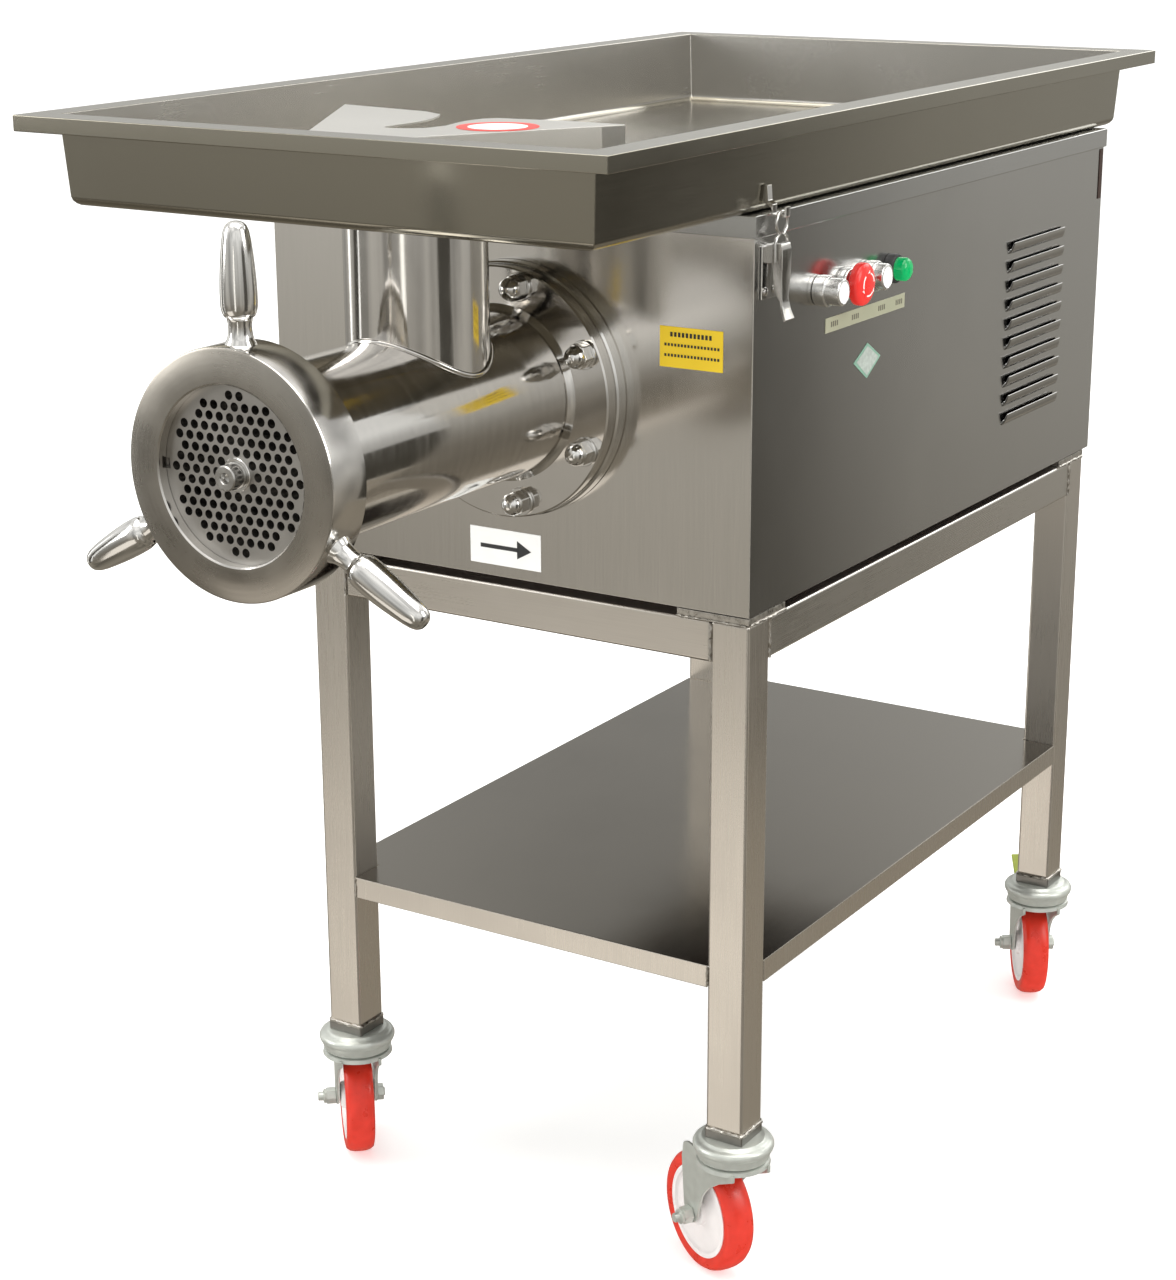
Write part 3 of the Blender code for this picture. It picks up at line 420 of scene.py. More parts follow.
def soften(obj, width, segments=3, angle=30):
    apply_modifier(
        obj,
        "BEVEL",
        width=width * MM,
        segments=segments,
        limit_method="ANGLE",
        angle_limit=math.radians(angle),
        harden_normals=False,
    )
    smooth(obj)
    apply_modifier(obj, "WEIGHTED_NORMAL", keep_sharp=True, weight=80)


def smooth(obj, angle=35):
    pick(obj)
    bpy.ops.object.shade_smooth_by_angle(angle=math.radians(angle))


def block(name, low, high, edge=0.0, segments=3):
    """A box between two corners, with its edges rounded."""
    start = at(*low)
    end = at(*high)
    bpy.ops.object.select_all(action="DESELECT")
    bpy.ops.mesh.primitive_cube_add(size=1, location=(start + end) / 2)
    made = bpy.context.object
    made.name = name
    made.scale = end - start
    settle(made)
    if edge:
        soften(made, edge, segments)
    return made


def faces_where(obj, test):
    """Selects, in edit mode, the faces that pass a test of their middle and normal."""
    close_mesh()
    for part in (obj.data.vertices, obj.data.edges, obj.data.polygons):
        part.foreach_set("select", [False] * len(part))
    for face in obj.data.polygons:
        face.select = bool(test(here(face.center), face.normal))
    bpy.ops.object.mode_set(mode="EDIT")
    bpy.ops.mesh.select_mode(type="FACE")


TURNS = {
    "X": Matrix(((0, 0, 1), (1, 0, 0), (0, 1, 0))),
    "Y": Matrix(((1, 0, 0), (0, 0, 1), (0, 1, 0))),
    "Z": Matrix.Identity(3),
}


def outline_object(name, points, closed=True):
    """An outline in millimetres, traced point by point from one corner, ready to be filled or spun."""
    bpy.ops.object.select_all(action="DESELECT")
    bpy.ops.mesh.primitive_plane_add(size=2 * MM, location=(0, 0, 0))
    made = bpy.context.object
    made.name = name
    bpy.ops.object.mode_set(mode="EDIT")
    bpy.ops.mesh.select_mode(type="VERT")
    bpy.ops.mesh.select_all(action="SELECT")
    bpy.ops.mesh.merge(type="CENTER")
    bpy.ops.mesh.select_all(action="SELECT")
    spots = [Vector(point) * MM for point in points]
    bpy.ops.transform.translate(value=spots[0])
    for start, end in zip(spots, spots[1:]):
        bpy.ops.mesh.extrude_vertices_move(TRANSFORM_OT_translate={"value": end - start})
    if closed:
        bpy.ops.mesh.extrude_vertices_move(TRANSFORM_OT_translate={"value": spots[0] - spots[-1]})
        bpy.ops.mesh.select_all(action="SELECT")
        bpy.ops.mesh.remove_doubles(threshold=0.000001)
    bpy.ops.object.mode_set(mode="OBJECT")
    return made


def set_in_place(obj, axis, centre):
    """Lays a shape made along Z along an axis, at a place."""
    obj.data.transform(Matrix.Translation(at(*centre)) @ TURNS[axis].to_4x4())


def turned(name, outline, axis="Y", centre=(0, 0, 885), steps=96, closed=False, angle=35):
    """An outline of (radius, height) points spun round an axis."""
    made = outline_object(name, [(radius, 0, height) for radius, height in outline], closed)
    open_mesh(made)
    bpy.ops.mesh.spin(steps=steps, angle=math.tau, center=(0, 0, 0), axis=(0, 0, 1))
    bpy.ops.mesh.select_all(action="SELECT")
    bpy.ops.mesh.remove_doubles(threshold=0.000002)
    bpy.ops.mesh.normals_make_consistent(inside=False)
    close_mesh()
    set_in_place(made, axis, centre)
    open_mesh(made)
    bpy.ops.mesh.normals_make_consistent(inside=False)
    close_mesh()
    smooth(made, angle)
    return made


def cut_sheet(name, outline, thick, axis="Z", centre=(0, 0, 0), edge=0.0, segments=2):
    """A flat outline filled, given its thickness upwards and its edges rounded."""
    made = outline_object(name, [(u, v, 0) for u, v in outline])
    open_mesh(made)
    bpy.ops.mesh.edge_face_add()
    bpy.ops.mesh.extrude_region_move(TRANSFORM_OT_translate={"value": (0, 0, thick * MM)})
    bpy.ops.mesh.select_all(action="SELECT")
    bpy.ops.mesh.normals_make_consistent(inside=False)
    close_mesh()
    set_in_place(made, axis, centre)
    open_mesh(made)
    bpy.ops.mesh.normals_make_consistent(inside=False)
    close_mesh()
    if edge:
        soften(made, edge, segments)
    return made


def wire(name, points, radius, cyclic=False, smooth_path=False, sides=4):
    """A round wire or bead through points, made a mesh."""
    data = bpy.data.curves.new(name, "CURVE")
    data.dimensions = "3D"
    data.bevel_depth = radius * MM
    data.bevel_resolution = sides
    data.use_fill_caps = True
    spline = data.splines.new("BEZIER" if smooth_path else "POLY")
    spots = spline.bezier_points if smooth_path else spline.points
    spots.add(len(points) - 1)
    for spot, point in zip(spots, points):
        place = at(*point)
        if smooth_path:
            spot.co = place
            spot.handle_left_type = "AUTO"
            spot.handle_right_type = "AUTO"
        else:
            spot.co = (*place, 1)
    spline.use_cyclic_u = cyclic
    made = bpy.data.objects.new(name, data)
    bpy.context.collection.objects.link(made)
    pick(made)
    bpy.ops.object.convert(target="MESH")
    made = bpy.context.object
    open_mesh(made)
    bpy.ops.mesh.remove_doubles(threshold=0.00001)
    bpy.ops.mesh.normals_make_consistent(inside=False)
    close_mesh()
    smooth(made, 60)
    return made


def weld_together(first, *others):
    """Joins meshes into the first one."""
    bpy.ops.object.select_all(action="DESELECT")
    for obj in (first, *others):
        obj.select_set(True)
    bpy.context.view_layer.objects.active = first
    bpy.ops.object.join()
    return first


def cut_away(obj, cutter):
    apply_modifier(obj, "BOOLEAN", operation="DIFFERENCE", solver="EXACT", object=cutter)
    bpy.data.objects.remove(cutter, do_unlink=True)


def fuse(obj, other):
    apply_modifier(obj, "BOOLEAN", operation="UNION", solver="EXACT", object=other)
    bpy.data.objects.remove(other, do_unlink=True)


def paint(obj, *finishes):
    obj.data.materials.clear()
    for finish in finishes:
        obj.data.materials.append(finish)


def done(obj, body, finish=None, nodes=()):
    if finish:
        paint(obj, finish)
    obj.data.name = obj.name
    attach(obj, body)
    if nodes:
        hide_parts(*nodes)
    return obj


def copied(obj, name, matrix=None):
    twin = obj.copy()
    twin.data = obj.data.copy()
    twin.name = name
    bpy.context.collection.objects.link(twin)
    if matrix is not None:
        twin.data.transform(matrix)
    return twin


def turned_about(centre, axis, degrees):
    middle = at(*centre)
    return Matrix.Translation(middle) @ Matrix.Rotation(math.radians(degrees), 4, axis) @ Matrix.Translation(-middle)


WELD_COUNT = [0]


def weld(points, body="machine", radius=2.2, cyclic=False):
    """A bead of weld with its ripples, laid along a path."""
    WELD_COUNT[0] += 1
    dense = []
    pairs = list(zip(points, points[1:] + (points[:1] if cyclic else [])))
    for start, end in pairs if cyclic else zip(points, points[1:]):
        first = Vector(start)
        length = (Vector(end) - first).length
        count = max(1, round(length / 1.5))
        dense += [first.lerp(Vector(end), i / count) for i in range(count)]
    if not cyclic:
        dense.append(Vector(points[-1]))
    bead = wire("weld_bead_" + str(WELD_COUNT[0]), dense, radius, cyclic, sides=2)
    texture = bpy.data.textures.new("weld_ripple", "CLOUDS")
    texture.noise_scale = 0.004
    apply_modifier(bead, "DISPLACE", texture=texture, strength=0.0022, mid_level=0.5, texture_coords="LOCAL")
    smooth(bead, 50)
    return done(bead, body, WELD_STEEL)


# ---------------------------------------------------------------- castor frame

TUBE = 40.0
HALF_WIDTH = 250.0
FRAME_LENGTH = 800.0
RAIL_TOP = 690.0
PLACES = ("front_right", "front_left", "rear_right", "rear_left")
CASTOR_TURN = {"front_right": -118.0, "front_left": -138.0, "rear_right": -148.0, "rear_left": -130.0}


def leg_middle(place):
    low, high = node_box("castor_head_" + place)
    return (low[0] + high[0]) / 2, (low[1] + high[1]) / 2


def make_leg(place):
    x, y = leg_middle(place)
    low, high = node_box("leg_" + place)
    half = TUBE / 2
    leg = block("leg_tube_" + place, (x - half, y - half, low[2]), (x + half, y + half, RAIL_TOP), 3.0, 4)
    pad = block("corner_pad_" + place, (low[0], low[1], RAIL_TOP + 0.3), (high[0], high[1], high[2] - 0.1), 0.8, 2)
    done(leg, "machine", LEG_STEEL, ("leg_" + place,))
    done(pad, "machine", WELD_STEEL)
    out_x = 1 if x > 0 else -1
    out_y = 1 if y > 400 else -1
    side_x = x + out_x * half
    side_y = y + out_y * half
    inner_x = x - out_x * half
    inner_y = y - out_y * half
    pad_x = high[0] if out_x < 0 else low[0]
    pad_y = high[1] if out_y < 0 else low[1]
    weld([(inner_x, side_y, 651), (inner_x, side_y, 688)], radius=1.6)
    weld([(side_x, inner_y, 651), (side_x, inner_y, 688)], radius=1.6)
    weld([(side_x - out_x * 3, side_y, 690), (pad_x, side_y, 690)], radius=1.5)
    weld([(side_x, side_y - out_y * 3, 690), (side_x, pad_y, 690)], radius=1.5)
    foot = low[2] - 0.5
    ring = half - 1.5
    corners = [(x - ring, y - half, foot), (x + ring, y - half, foot), (x + half, y - ring, foot)]
    corners += [(x + half, y + ring, foot), (x + ring, y + half, foot), (x - ring, y + half, foot)]
    corners += [(x - half, y + ring, foot), (x - half, y - ring, foot)]
    weld(corners, radius=2.0, cyclic=True)


def make_rails():
    for name, finish in (
        ("rail_front", RAIL_STEEL_X),
        ("rail_rear", RAIL_STEEL_X),
        ("rail_right", RAIL_STEEL_Y),
        ("rail_left", RAIL_STEEL_Y),
    ):
        low, high = node_box(name)
        bar = block(name + "_tube", low, high, 3.0, 4)
        done(bar, "machine", finish, (name,))


def make_shelf():
    low, high = node_box("shelf")
    shelf = block("shelf_sheet", low, high)
    open_mesh(shelf)
    faces_where(shelf, lambda middle, normal: normal.z < -0.9)
    bpy.ops.mesh.delete(type="FACE")
    close_mesh()
    apply_modifier(shelf, "SOLIDIFY", thickness=2 * MM, offset=-1, use_even_offset=True)
    reach = TUBE + 0.3
    for x_low in (-HALF_WIDTH - 5, HALF_WIDTH - reach):
        for y_low in (-5, FRAME_LENGTH - reach):
            notch = block("notch", (x_low, y_low, low[2] - 9), (x_low + reach + 5, y_low + reach + 5, high[2] + 9))
            cut_away(shelf, notch)
    soften(shelf, 0.9, 3)
    # painted shade: the top and underside take the dark shelf copy, the edges the bright leg steel
    paint(shelf, SHELF_SHADE_STEEL, LEG_STEEL)
    for face in shelf.data.polygons:
        face.material_index = int(abs(face.normal.z) < 0.5)
    done(shelf, "machine", None, ("shelf",))
    for x in (-HALF_WIDTH + TUBE, HALF_WIDTH - TUBE):
        for y in (0.0, FRAME_LENGTH):
            weld([(x, y, low[2] + 1), (x, y, high[2] - 2)], radius=1.3)


def make_castor(place):
    x, y = leg_middle(place)
    turn = CASTOR_TURN[place]
    low, high = node_box("castor_head_" + place)
    half = 20.6
    block_low = high[2] - 11
    adapter = block("leg_adapter_" + place, (x - half, y - half, block_low), (x + half, y + half, high[2]), 1.2)
    done(adapter, "machine", ADAPTER_STEEL)
    race = [
        (0, block_low + 0.2),
        (30.5, block_low + 0.2),
        (32, block_low - 0.3),
        (33, block_low - 2.4),
        (36, block_low - 3.2),
        (38.6, block_low - 4.6),
        (40, block_low - 7.2),
        (40, block_low - 9.6),
        (39, block_low - 12.2),
        (36.6, block_low - 13.4),
        (36.2, low[2] + 2.5),
        (35, low[2] + 0.2),
        (0, low[2] + 0.2),
    ]
    done(
        turned("swivel_race_" + place, race, "Z", (x, y, 0), 72, angle=50),
        "machine",
        ZINC,
        ("castor_head_" + place,),
    )

    body = "fork_" + place
    crown_top = low[2] - 0.3
    crown = [
        (0, crown_top),
        (31, crown_top),
        (36, crown_top - 2),
        (37, crown_top - 6),
        (33, crown_top - 8),
        (0, crown_top - 8),
    ]
    fork = turned("fork_" + place, crown, "Z", (0, 0, 0), 48)
    cheek_points = [
        (33, crown_top - 3),
        (-50, crown_top - 3),
        (-57, crown_top - 6),
        (-60, 119),
        (-57.4, 92),
        (-55, 68),
        (-52.6, 58),
        (-47, 53),
        (-41, 52),
        (-35, 55),
        (-30.6, 61),
        (-28.6, 70),
        (-26, 80),
        (-21, 92),
        (-10, 105),
        (8, 118),
        (33, 131),
    ]
    for side, start in (("a", 19.0), ("b", -22.5)):
        cheek = cut_sheet("cheek_" + side, cheek_points, 3.5, "X", (start, 0, 0), 1.1, 2)
        fork = weld_together(fork, cheek)
    axle = [(0, -31), (4.5, -31), (4.8, -30), (4.8, 41), (4.2, 42), (0, 42)]
    for part in (
        turned("axle", axle, "X", (0, -42, 62.5), 24),
        hexagon("axle_nut", 9.2, (22.7, 33), "X", (0, -42, 62.5)),
        hexagon("axle_head", 9.2, (-29.5, -22.7), "X", (0, -42, 62.5)),
        turned("lock_washer", [(0, 33), (7.6, 33), (7.8, 35.5), (5, 36.5), (0, 36.5)], "X", (0, -42, 62.5), 24),
    ):
        fork = weld_together(fork, part)
    swing = Matrix.Translation(at(x, y, 0)) @ Matrix.Rotation(math.radians(turn), 4, "Z") @ Matrix.Translation(-at(0, 0, 0))
    fork.data.transform(swing)
    fork.name = "castor_fork_plate_" + place
    done(fork, body, ZINC, ("castor_fork_" + place,))

    tread = [
        (47.5, -13.5),
        (54, -15.5),
        (58.5, -14.5),
        (61, -11),
        (62.2, -6),
        (62.5, 0),
        (62.2, 6),
        (61, 11),
        (58.5, 14.5),
        (54, 15.5),
        (47.5, 13.5),
    ]
    tyre = turned("castor_tread_" + place, tread, "X", (0, -42, 62.5), 96, True, 60)
    tyre.data.transform(swing)
    done(tyre, "wheel_" + place, RED_TREAD, ("wheel_" + place,))
    hub = [
        (6.0, -17.5),
        (12.5, -17.5),
        (14, -16.5),
        (15, -13),
        (18, -11.6),
        (30, -10.4),
        (40, -11),
        (42, -12),
        (43, -14.2),
        (44.5, -14.8),
        (47.8, -14.4),
        (47.8, 14.4),
        (44.5, 14.8),
        (43, 14.2),
        (42, 12),
        (40, 11),
        (30, 10.4),
        (18, 11.6),
        (15, 13),
        (14, 16.5),
        (12.5, 17.5),
        (6.0, 17.5),
    ]
    wheel = turned("castor_hub_" + place, hub, "X", (0, -42, 62.5), 96, True, 40)
    wheel.data.transform(swing)
    done(wheel, "wheel_" + place, WHITE_HUB)

    if place.startswith("rear"):
        pad = [(-2, -3), (3, -3), (4, 3), (-10, 9.5), (-26, 17), (-44, 26), (-46.5, 25.5), (-46, 23), (-26, 13), (-12, 6)]
        pedal = cut_sheet("pedal", [(u - 54, v + 131) for u, v in pad], 34, "X", (-17, 0, 0), 1.2, 3)
        pedal.data.transform(swing)
        pedal.name = "brake_pedal_tread_" + place
        done(pedal, "pedal_" + place, PEDAL_GREEN, ("brake_pedal_" + place,))


def hexagon(name, radius, span, axis, centre, edge=0.8):
    """A hexagonal head or nut between two heights along an axis."""
    points = [(radius * math.cos(i * math.pi / 3), radius * math.sin(i * math.pi / 3)) for i in range(6)]
    place = list(centre)
    place["XYZ".index(axis)] += span[0]
    return cut_sheet(name, points, span[1] - span[0], axis, place, edge, 2)


# ---------------------------------------------------------------- drive housing

FACE_X = 250.0
CONTROL_Z = 980.0
CONTROL_Y = {"start": 122.0, "stop": 172.0, "reverse": 221.0, "lamp": 270.0}
LOUVRE_COUNT = 10
LOUVRE_Y = (557.0, 705.0)
LOUVRE_TOP = 962.0
LOUVRE_PITCH = 20.4


def make_casing():
    low, high = node_box("casing")
    walls = block("housing_walls", low, high)
    open_mesh(walls)
    faces_where(walls, lambda middle, normal: abs(normal.z) > 0.9)
    bpy.ops.mesh.delete(type="FACE")
    close_mesh()
    apply_modifier(walls, "SOLIDIFY", thickness=2 * MM, offset=-1, use_even_offset=True)
    slots = None
    for i in range(LOUVRE_COUNT):
        z = LOUVRE_TOP - i * LOUVRE_PITCH
        slot = block("slot", (high[0] - 10, LOUVRE_Y[0] + 6, z - 2.5), (high[0] + 10, LOUVRE_Y[1] - 6, z + 4.5))
        slots = weld_together(slots, slot) if slots else slot
    cut_away(walls, slots)
    cut_away(walls, turned("hole", [(0, -20), (40, -20), (40, 20), (0, 20)], steps=48))
    for name, radius in (("start", 12.9), ("reverse", 12.9), ("stop", 8.6)):
        hole = [(0, -10), (radius, -10), (radius, 10), (0, 10)]
        cut_away(walls, turned("hole", hole, "X", (FACE_X, CONTROL_Y[name], CONTROL_Z), 32))
    soften(walls, 1.6, 3, 60)
    paint(walls, SIDE_STEEL, FRONT_STEEL)
    for face in walls.data.polygons:
        face.material_index = int(face.normal.y < -0.7)
    done(walls, "machine", None, ("casing",))

    for i in range(LOUVRE_COUNT):
        z = LOUVRE_TOP - i * LOUVRE_PITCH
        hood_outline = [(0, -7), (1.2, -6.6), (2.8, -4.8), (4.2, -1.8), (5.0, 1.6), (5.2, 4.6), (4.4, 4.8)]
        hood_outline += [(3.4, 1.4), (1.8, -2.8), (0, -5)]
        points = [(high[0] + u, z + v) for u, v in hood_outline]
        hood = cut_sheet("louvre_hood_" + str(i + 1), points, 1, "Y", (0, 0, 0))
        pick(hood)
        hood.data.transform(Matrix.Translation((0, FRONT_Y, 0)) @ Matrix.Diagonal((1, LOUVRE_Y[1] - LOUVRE_Y[0], 1, 1)) @ Matrix.Translation((0, -FRONT_Y, 0)))
        hood.data.transform(Matrix.Translation((0, LOUVRE_Y[0] * MM, 0)))
        taper_ends(hood, high[0])
        soften(hood, 0.6, 2)
        done(hood, "machine", SIDE_STEEL)

    low_p, high_p = node_box("floor_plate")
    # painted shadow: the housing's floor plate is made near black, standing for the shade at the housing's bottom edge
    done(block("housing_floor", low_p, high_p, 0.8, 2), "machine", GAP_SHADE, ("floor_plate",))
    # painted shadow: a short dark strip stands for the shadow at the rear fold
    seam = block("rear_fold_shadow", (high[0] + 0.1, high[1] - 12, 985), (high[0] + 0.9, high[1] - 3, 1040), 0.35, 2)
    done(seam, "machine", GAP_SHADE)


def taper_ends(hood, wall_x):
    """Draws a hood's two ends in towards the wall, as the press leaves them."""
    middle = (LOUVRE_Y[0] + LOUVRE_Y[1]) / 2
    for vert in hood.data.vertices:
        x, y, z = here(vert.co)
        reach = max(0.0, x - wall_x)
        vert.co.y -= math.copysign(reach * 1.1 * MM, y - middle)


def make_lid():
    low, high = node_box("lid")
    lid = block("housing_lid", low, high)
    open_mesh(lid)
    faces_where(lid, lambda middle, normal: normal.z < -0.9)
    bpy.ops.mesh.delete(type="FACE")
    close_mesh()
    apply_modifier(lid, "SOLIDIFY", thickness=2 * MM, offset=-1, use_even_offset=True)
    soften(lid, 0.95, 3)
    done(lid, "machine", LID_STEEL, ("lid",))


def make_gland():
    outline = [(6, 0.3), (15, 0.3), (15, 8.5), (13.5, 9.5), (12, 10.5), (12, 25), (10.5, 29), (8, 30), (6, 30)]
    gland = turned("cable_gland_nut", outline, "Y", (-180, 815, 760), 48, True)
    ring = hexagon("gland_hex", 15.5, (2.3, 9), "Y", (-180, 815, 760), 1.0)
    gland = weld_together(gland, ring)
    done(gland, "machine", DARK_PLASTIC, ("cable_gland",))


# ---------------------------------------------------------------- mincing head

FLANGE_FRONT = -29.0
NUT_CIRCLE = 103.0
TUBE_RADIUS = 78.0
THROAT_RADIUS = 63.4
THROAT_Y = -155.0
RING_FRONT = -417.0
RING_BACK = -372.0
RING_RADIUS = 105.5
RING_OPENING = 75.0


def make_flange():
    ring = [(48, -14.4), (118.4, -14.4), (120, -12.8), (120, -1.6), (118.8, -0.3), (48, -0.3)]
    done(
        turned("mounting_ring_disc", ring, steps=160, closed=True),
        "machine",
        TRIM_STEEL,
        ("mounting_ring",),
    )


def make_barrel():
    back = -14.8
    front = RING_FRONT + 13
    outline = [
        (0, front),
        (91, front),
        (92, front + 1),
        (92, RING_BACK - 2),
        (TUBE_RADIUS, RING_BACK - 2),
        (TUBE_RADIUS, FLANGE_FRONT),
        (116.6, FLANGE_FRONT),
        (118, FLANGE_FRONT + 1.4),
        (118, back - 1),
        (117, back),
        (0, back),
    ]
    barrel = turned("barrel_casting", outline, steps=160)
    throat_top = node_box("barrel")[1][2]
    column = [(0, 890), (THROAT_RADIUS, 890), (THROAT_RADIUS, throat_top), (0, throat_top)]
    fuse(barrel, turned("throat", column, "Z", (0, THROAT_Y, 0), 128))
    bore = [(0, front - 20), (80, front - 20), (80, -389.4), (73, -389.4), (73, back - 6), (25.6, back - 6), (25.6, 20), (0, 20)]
    cut_away(barrel, turned("bore", bore, steps=96))
    well = [(0, 880), (60.5, 880), (60.5, throat_top + 30), (0, throat_top + 30)]
    cut_away(barrel, turned("well", well, "Z", (0, THROAT_Y, 0), 96))
    smooth(barrel, 30)
    done(barrel, "machine", TUBE_STEEL, ("barrel",))

    saddle = []
    for i in range(144):
        angle = math.tau * i / 144
        x = THROAT_RADIUS * math.cos(angle)
        y = THROAT_Y + THROAT_RADIUS * math.sin(angle)
        saddle.append((x, y, 885 + math.sqrt(TUBE_RADIUS**2 - x**2)))
    fillet = wire("throat_weld", saddle, 2.4, True, sides=4)
    done(fillet, "machine", TUBE_STEEL)
    seam = [(TUBE_RADIUS - 1, FLANGE_FRONT + 0.5), (TUBE_RADIUS - 1, FLANGE_FRONT - 6), (TUBE_RADIUS + 1.2, FLANGE_FRONT - 3.6)]
    seam += [(TUBE_RADIUS + 3.6, FLANGE_FRONT - 1.2), (TUBE_RADIUS + 6, FLANGE_FRONT + 0.5)]
    done(turned("flange_fillet", seam, steps=160, closed=True, angle=60), "machine", TUBE_STEEL)


def make_cap_nuts():
    count = 7
    face = FLANGE_FRONT - 0.3
    washer = [(6, face), (13.4, face), (13.4, face - 2), (12.9, face - 2.4), (6, face - 2.4)]
    first = turned("cap_nut", washer, centre=(NUT_CIRCLE, 0, 885), steps=40, closed=True)
    first = weld_together(first, hexagon("hex", 12.2, (face - 14.4, face - 2.4), "Y", (NUT_CIRCLE, 0, 885), 1.0))
    dome = [(10.4, face - 14)]
    dome += [(10.4 * math.cos(a * math.pi / 16), face - 14.4 - 10.6 * math.sin(a * math.pi / 16)) for a in range(9)]
    first = weld_together(first, turned("dome", dome, centre=(NUT_CIRCLE, 0, 885), steps=40))
    for i in range(count):
        degrees = 180 / count + i * 360 / count
        name = "cap_nut_" + str(i + 1)
        low, high = node_box(name)
        shift = Matrix.Translation(
            (
                ((low[0] + high[0]) / 2 - NUT_CIRCLE) * MM,
                0,
                ((low[2] + high[2]) / 2 - 885) * MM,
            )
        )
        twist = turned_about((NUT_CIRCLE, 0, 885), "Y", 17 * i + 8)
        nut = copied(first, "acorn_nut_" + str(i + 1), shift @ twist)
        done(nut, "machine", TRIM_STEEL, (name,))
    bpy.data.objects.remove(first, do_unlink=True)


def make_plate():
    front = RING_FRONT + 10.3
    radius = 79.6
    disc = [(11.4, front), (radius - 0.6, front), (radius, front + 0.6), (radius, front + 17), (11.4, front + 17)]
    plate = turned("mincing_plate_disc", disc, steps=120, closed=True)
    drill = None
    pitch = 10.7
    for row in range(-7, 8):
        for step in range(-7, 8):
            x = (step + (row % 2) / 2) * pitch
            z = row * pitch * math.sqrt(3) / 2
            if 17 < math.hypot(x, z) < 65.6:
                bpy.ops.object.select_all(action="DESELECT")
                bpy.ops.mesh.primitive_cylinder_add(
                    vertices=14,
                    radius=3.9 * MM,
                    depth=40 * MM,
                    location=at(x, front + 8, 885 + z),
                    rotation=(math.pi / 2, 0, 0),
                )
                hole = bpy.context.object
                settle(hole)
                drill = weld_together(drill, hole) if drill else hole
    cut_away(plate, drill)
    notch = block("notch", (-80, front - 5, 881.5), (-70.5, front + 9, 890.5))
    cut_away(plate, notch)
    smooth(plate, 30)
    done(plate, "plate", PLATE_STEEL, ("mincing_plate",))


def make_ring_nut():
    outline = [
        (RING_OPENING, RING_FRONT + 1.2),
        (RING_OPENING + 1.4, RING_FRONT),
        (RING_RADIUS - 2.2, RING_FRONT),
        (RING_RADIUS - 0.6, RING_FRONT + 0.7),
        (RING_RADIUS, RING_FRONT + 2.2),
        (RING_RADIUS, RING_BACK - 2),
        (RING_RADIUS - 2, RING_BACK),
        (92.5, RING_BACK),
        (92.5, RING_FRONT + 10),
        (RING_OPENING, RING_FRONT + 10),
    ]
    ring = turned("ring_nut_body", outline, steps=180, closed=True)
    paint(ring, RING_FACE, RING_SIDE)
    for face in ring.data.polygons:
        face.material_index = int(abs(face.normal.y) < 0.9)
    done(ring, "ring_nut", None, ("ring_nut",))

    base = RING_RADIUS - 0.5
    grip = [
        (0, base - 2),
        (13.4, base - 1),
        (12.6, base + 1.4),
        (11, base + 4),
        (10.1, base + 7),
        (9.6, 117),
        (9.6, 121),
        (10.2, 124),
        (10.4, 126),
        (12.6, 127.6),
        (14, 130.6),
        (14.8, 134.6),
        (15, 139),
        (15, 147),
        (14.6, 157),
        (13.9, 167),
        (12.9, 178),
        (11.7, 188),
        (10.4, 195),
        (8.6, 199.4),
        (6, 201.8),
        (3, 202.8),
        (0, 203),
    ]
    for name, degrees in (("top", 90), ("right", -30), ("left", -150)):
        handle = turned("ring_handle_" + name, grip, "X", (0, -395, 885), 64, angle=50)
        handle.data.transform(turned_about((0, -395, 885), "Y", -degrees))
        done(handle, "ring_nut", TRIM_STEEL, ("handle_" + name,))


def make_screw():
    flight = outline_object("feed_screw", [(33, 0, 0), (71.8, 0, 0)], False)
    apply_modifier(
        flight,
        "SCREW",
        angle=math.tau * 3.25,
        screw_offset=0.335,
        steps=208,
        render_steps=208,
        axis="Z",
        use_merge_vertices=False,
    )
    apply_modifier(flight, "SOLIDIFY", thickness=0.009, offset=0, use_even_offset=True)
    set_in_place(flight, "Y", (0, -368, 885))
    core = [(0, -377), (20, -377), (30, -372), (36, -330), (38, -24), (22, -21), (22, -13.5), (0, -13.5)]
    screw = weld_together(flight, turned("core", core, steps=72))
    pin = [
        (0, -417.5),
        (3.2, -418.6),
        (4.4, -422.2),
        (5, -423),
        (9.6, -423),
        (10.6, -422),
        (11, -415),
        (11, -413.6),
        (9.8, -413.2),
        (9.8, -411.8),
        (11, -411.4),
        (11, -370),
        (0, -370),
    ]
    screw = weld_together(screw, turned("pin", pin, steps=48))
    open_mesh(screw)
    bpy.ops.mesh.normals_make_consistent(inside=False)
    close_mesh()
    smooth(screw, 40)
    done(screw, "screw", CAST_STEEL, ("auger",))
    collar = [(11.2, -408.6), (13.6, -408.6), (14.2, -408), (14.2, -406.9), (11.2, -406.9)]
    done(turned("pin_collar", collar, steps=48, closed=True), "plate", TRIM_STEEL)


# ---------------------------------------------------------------- feed tray and guard


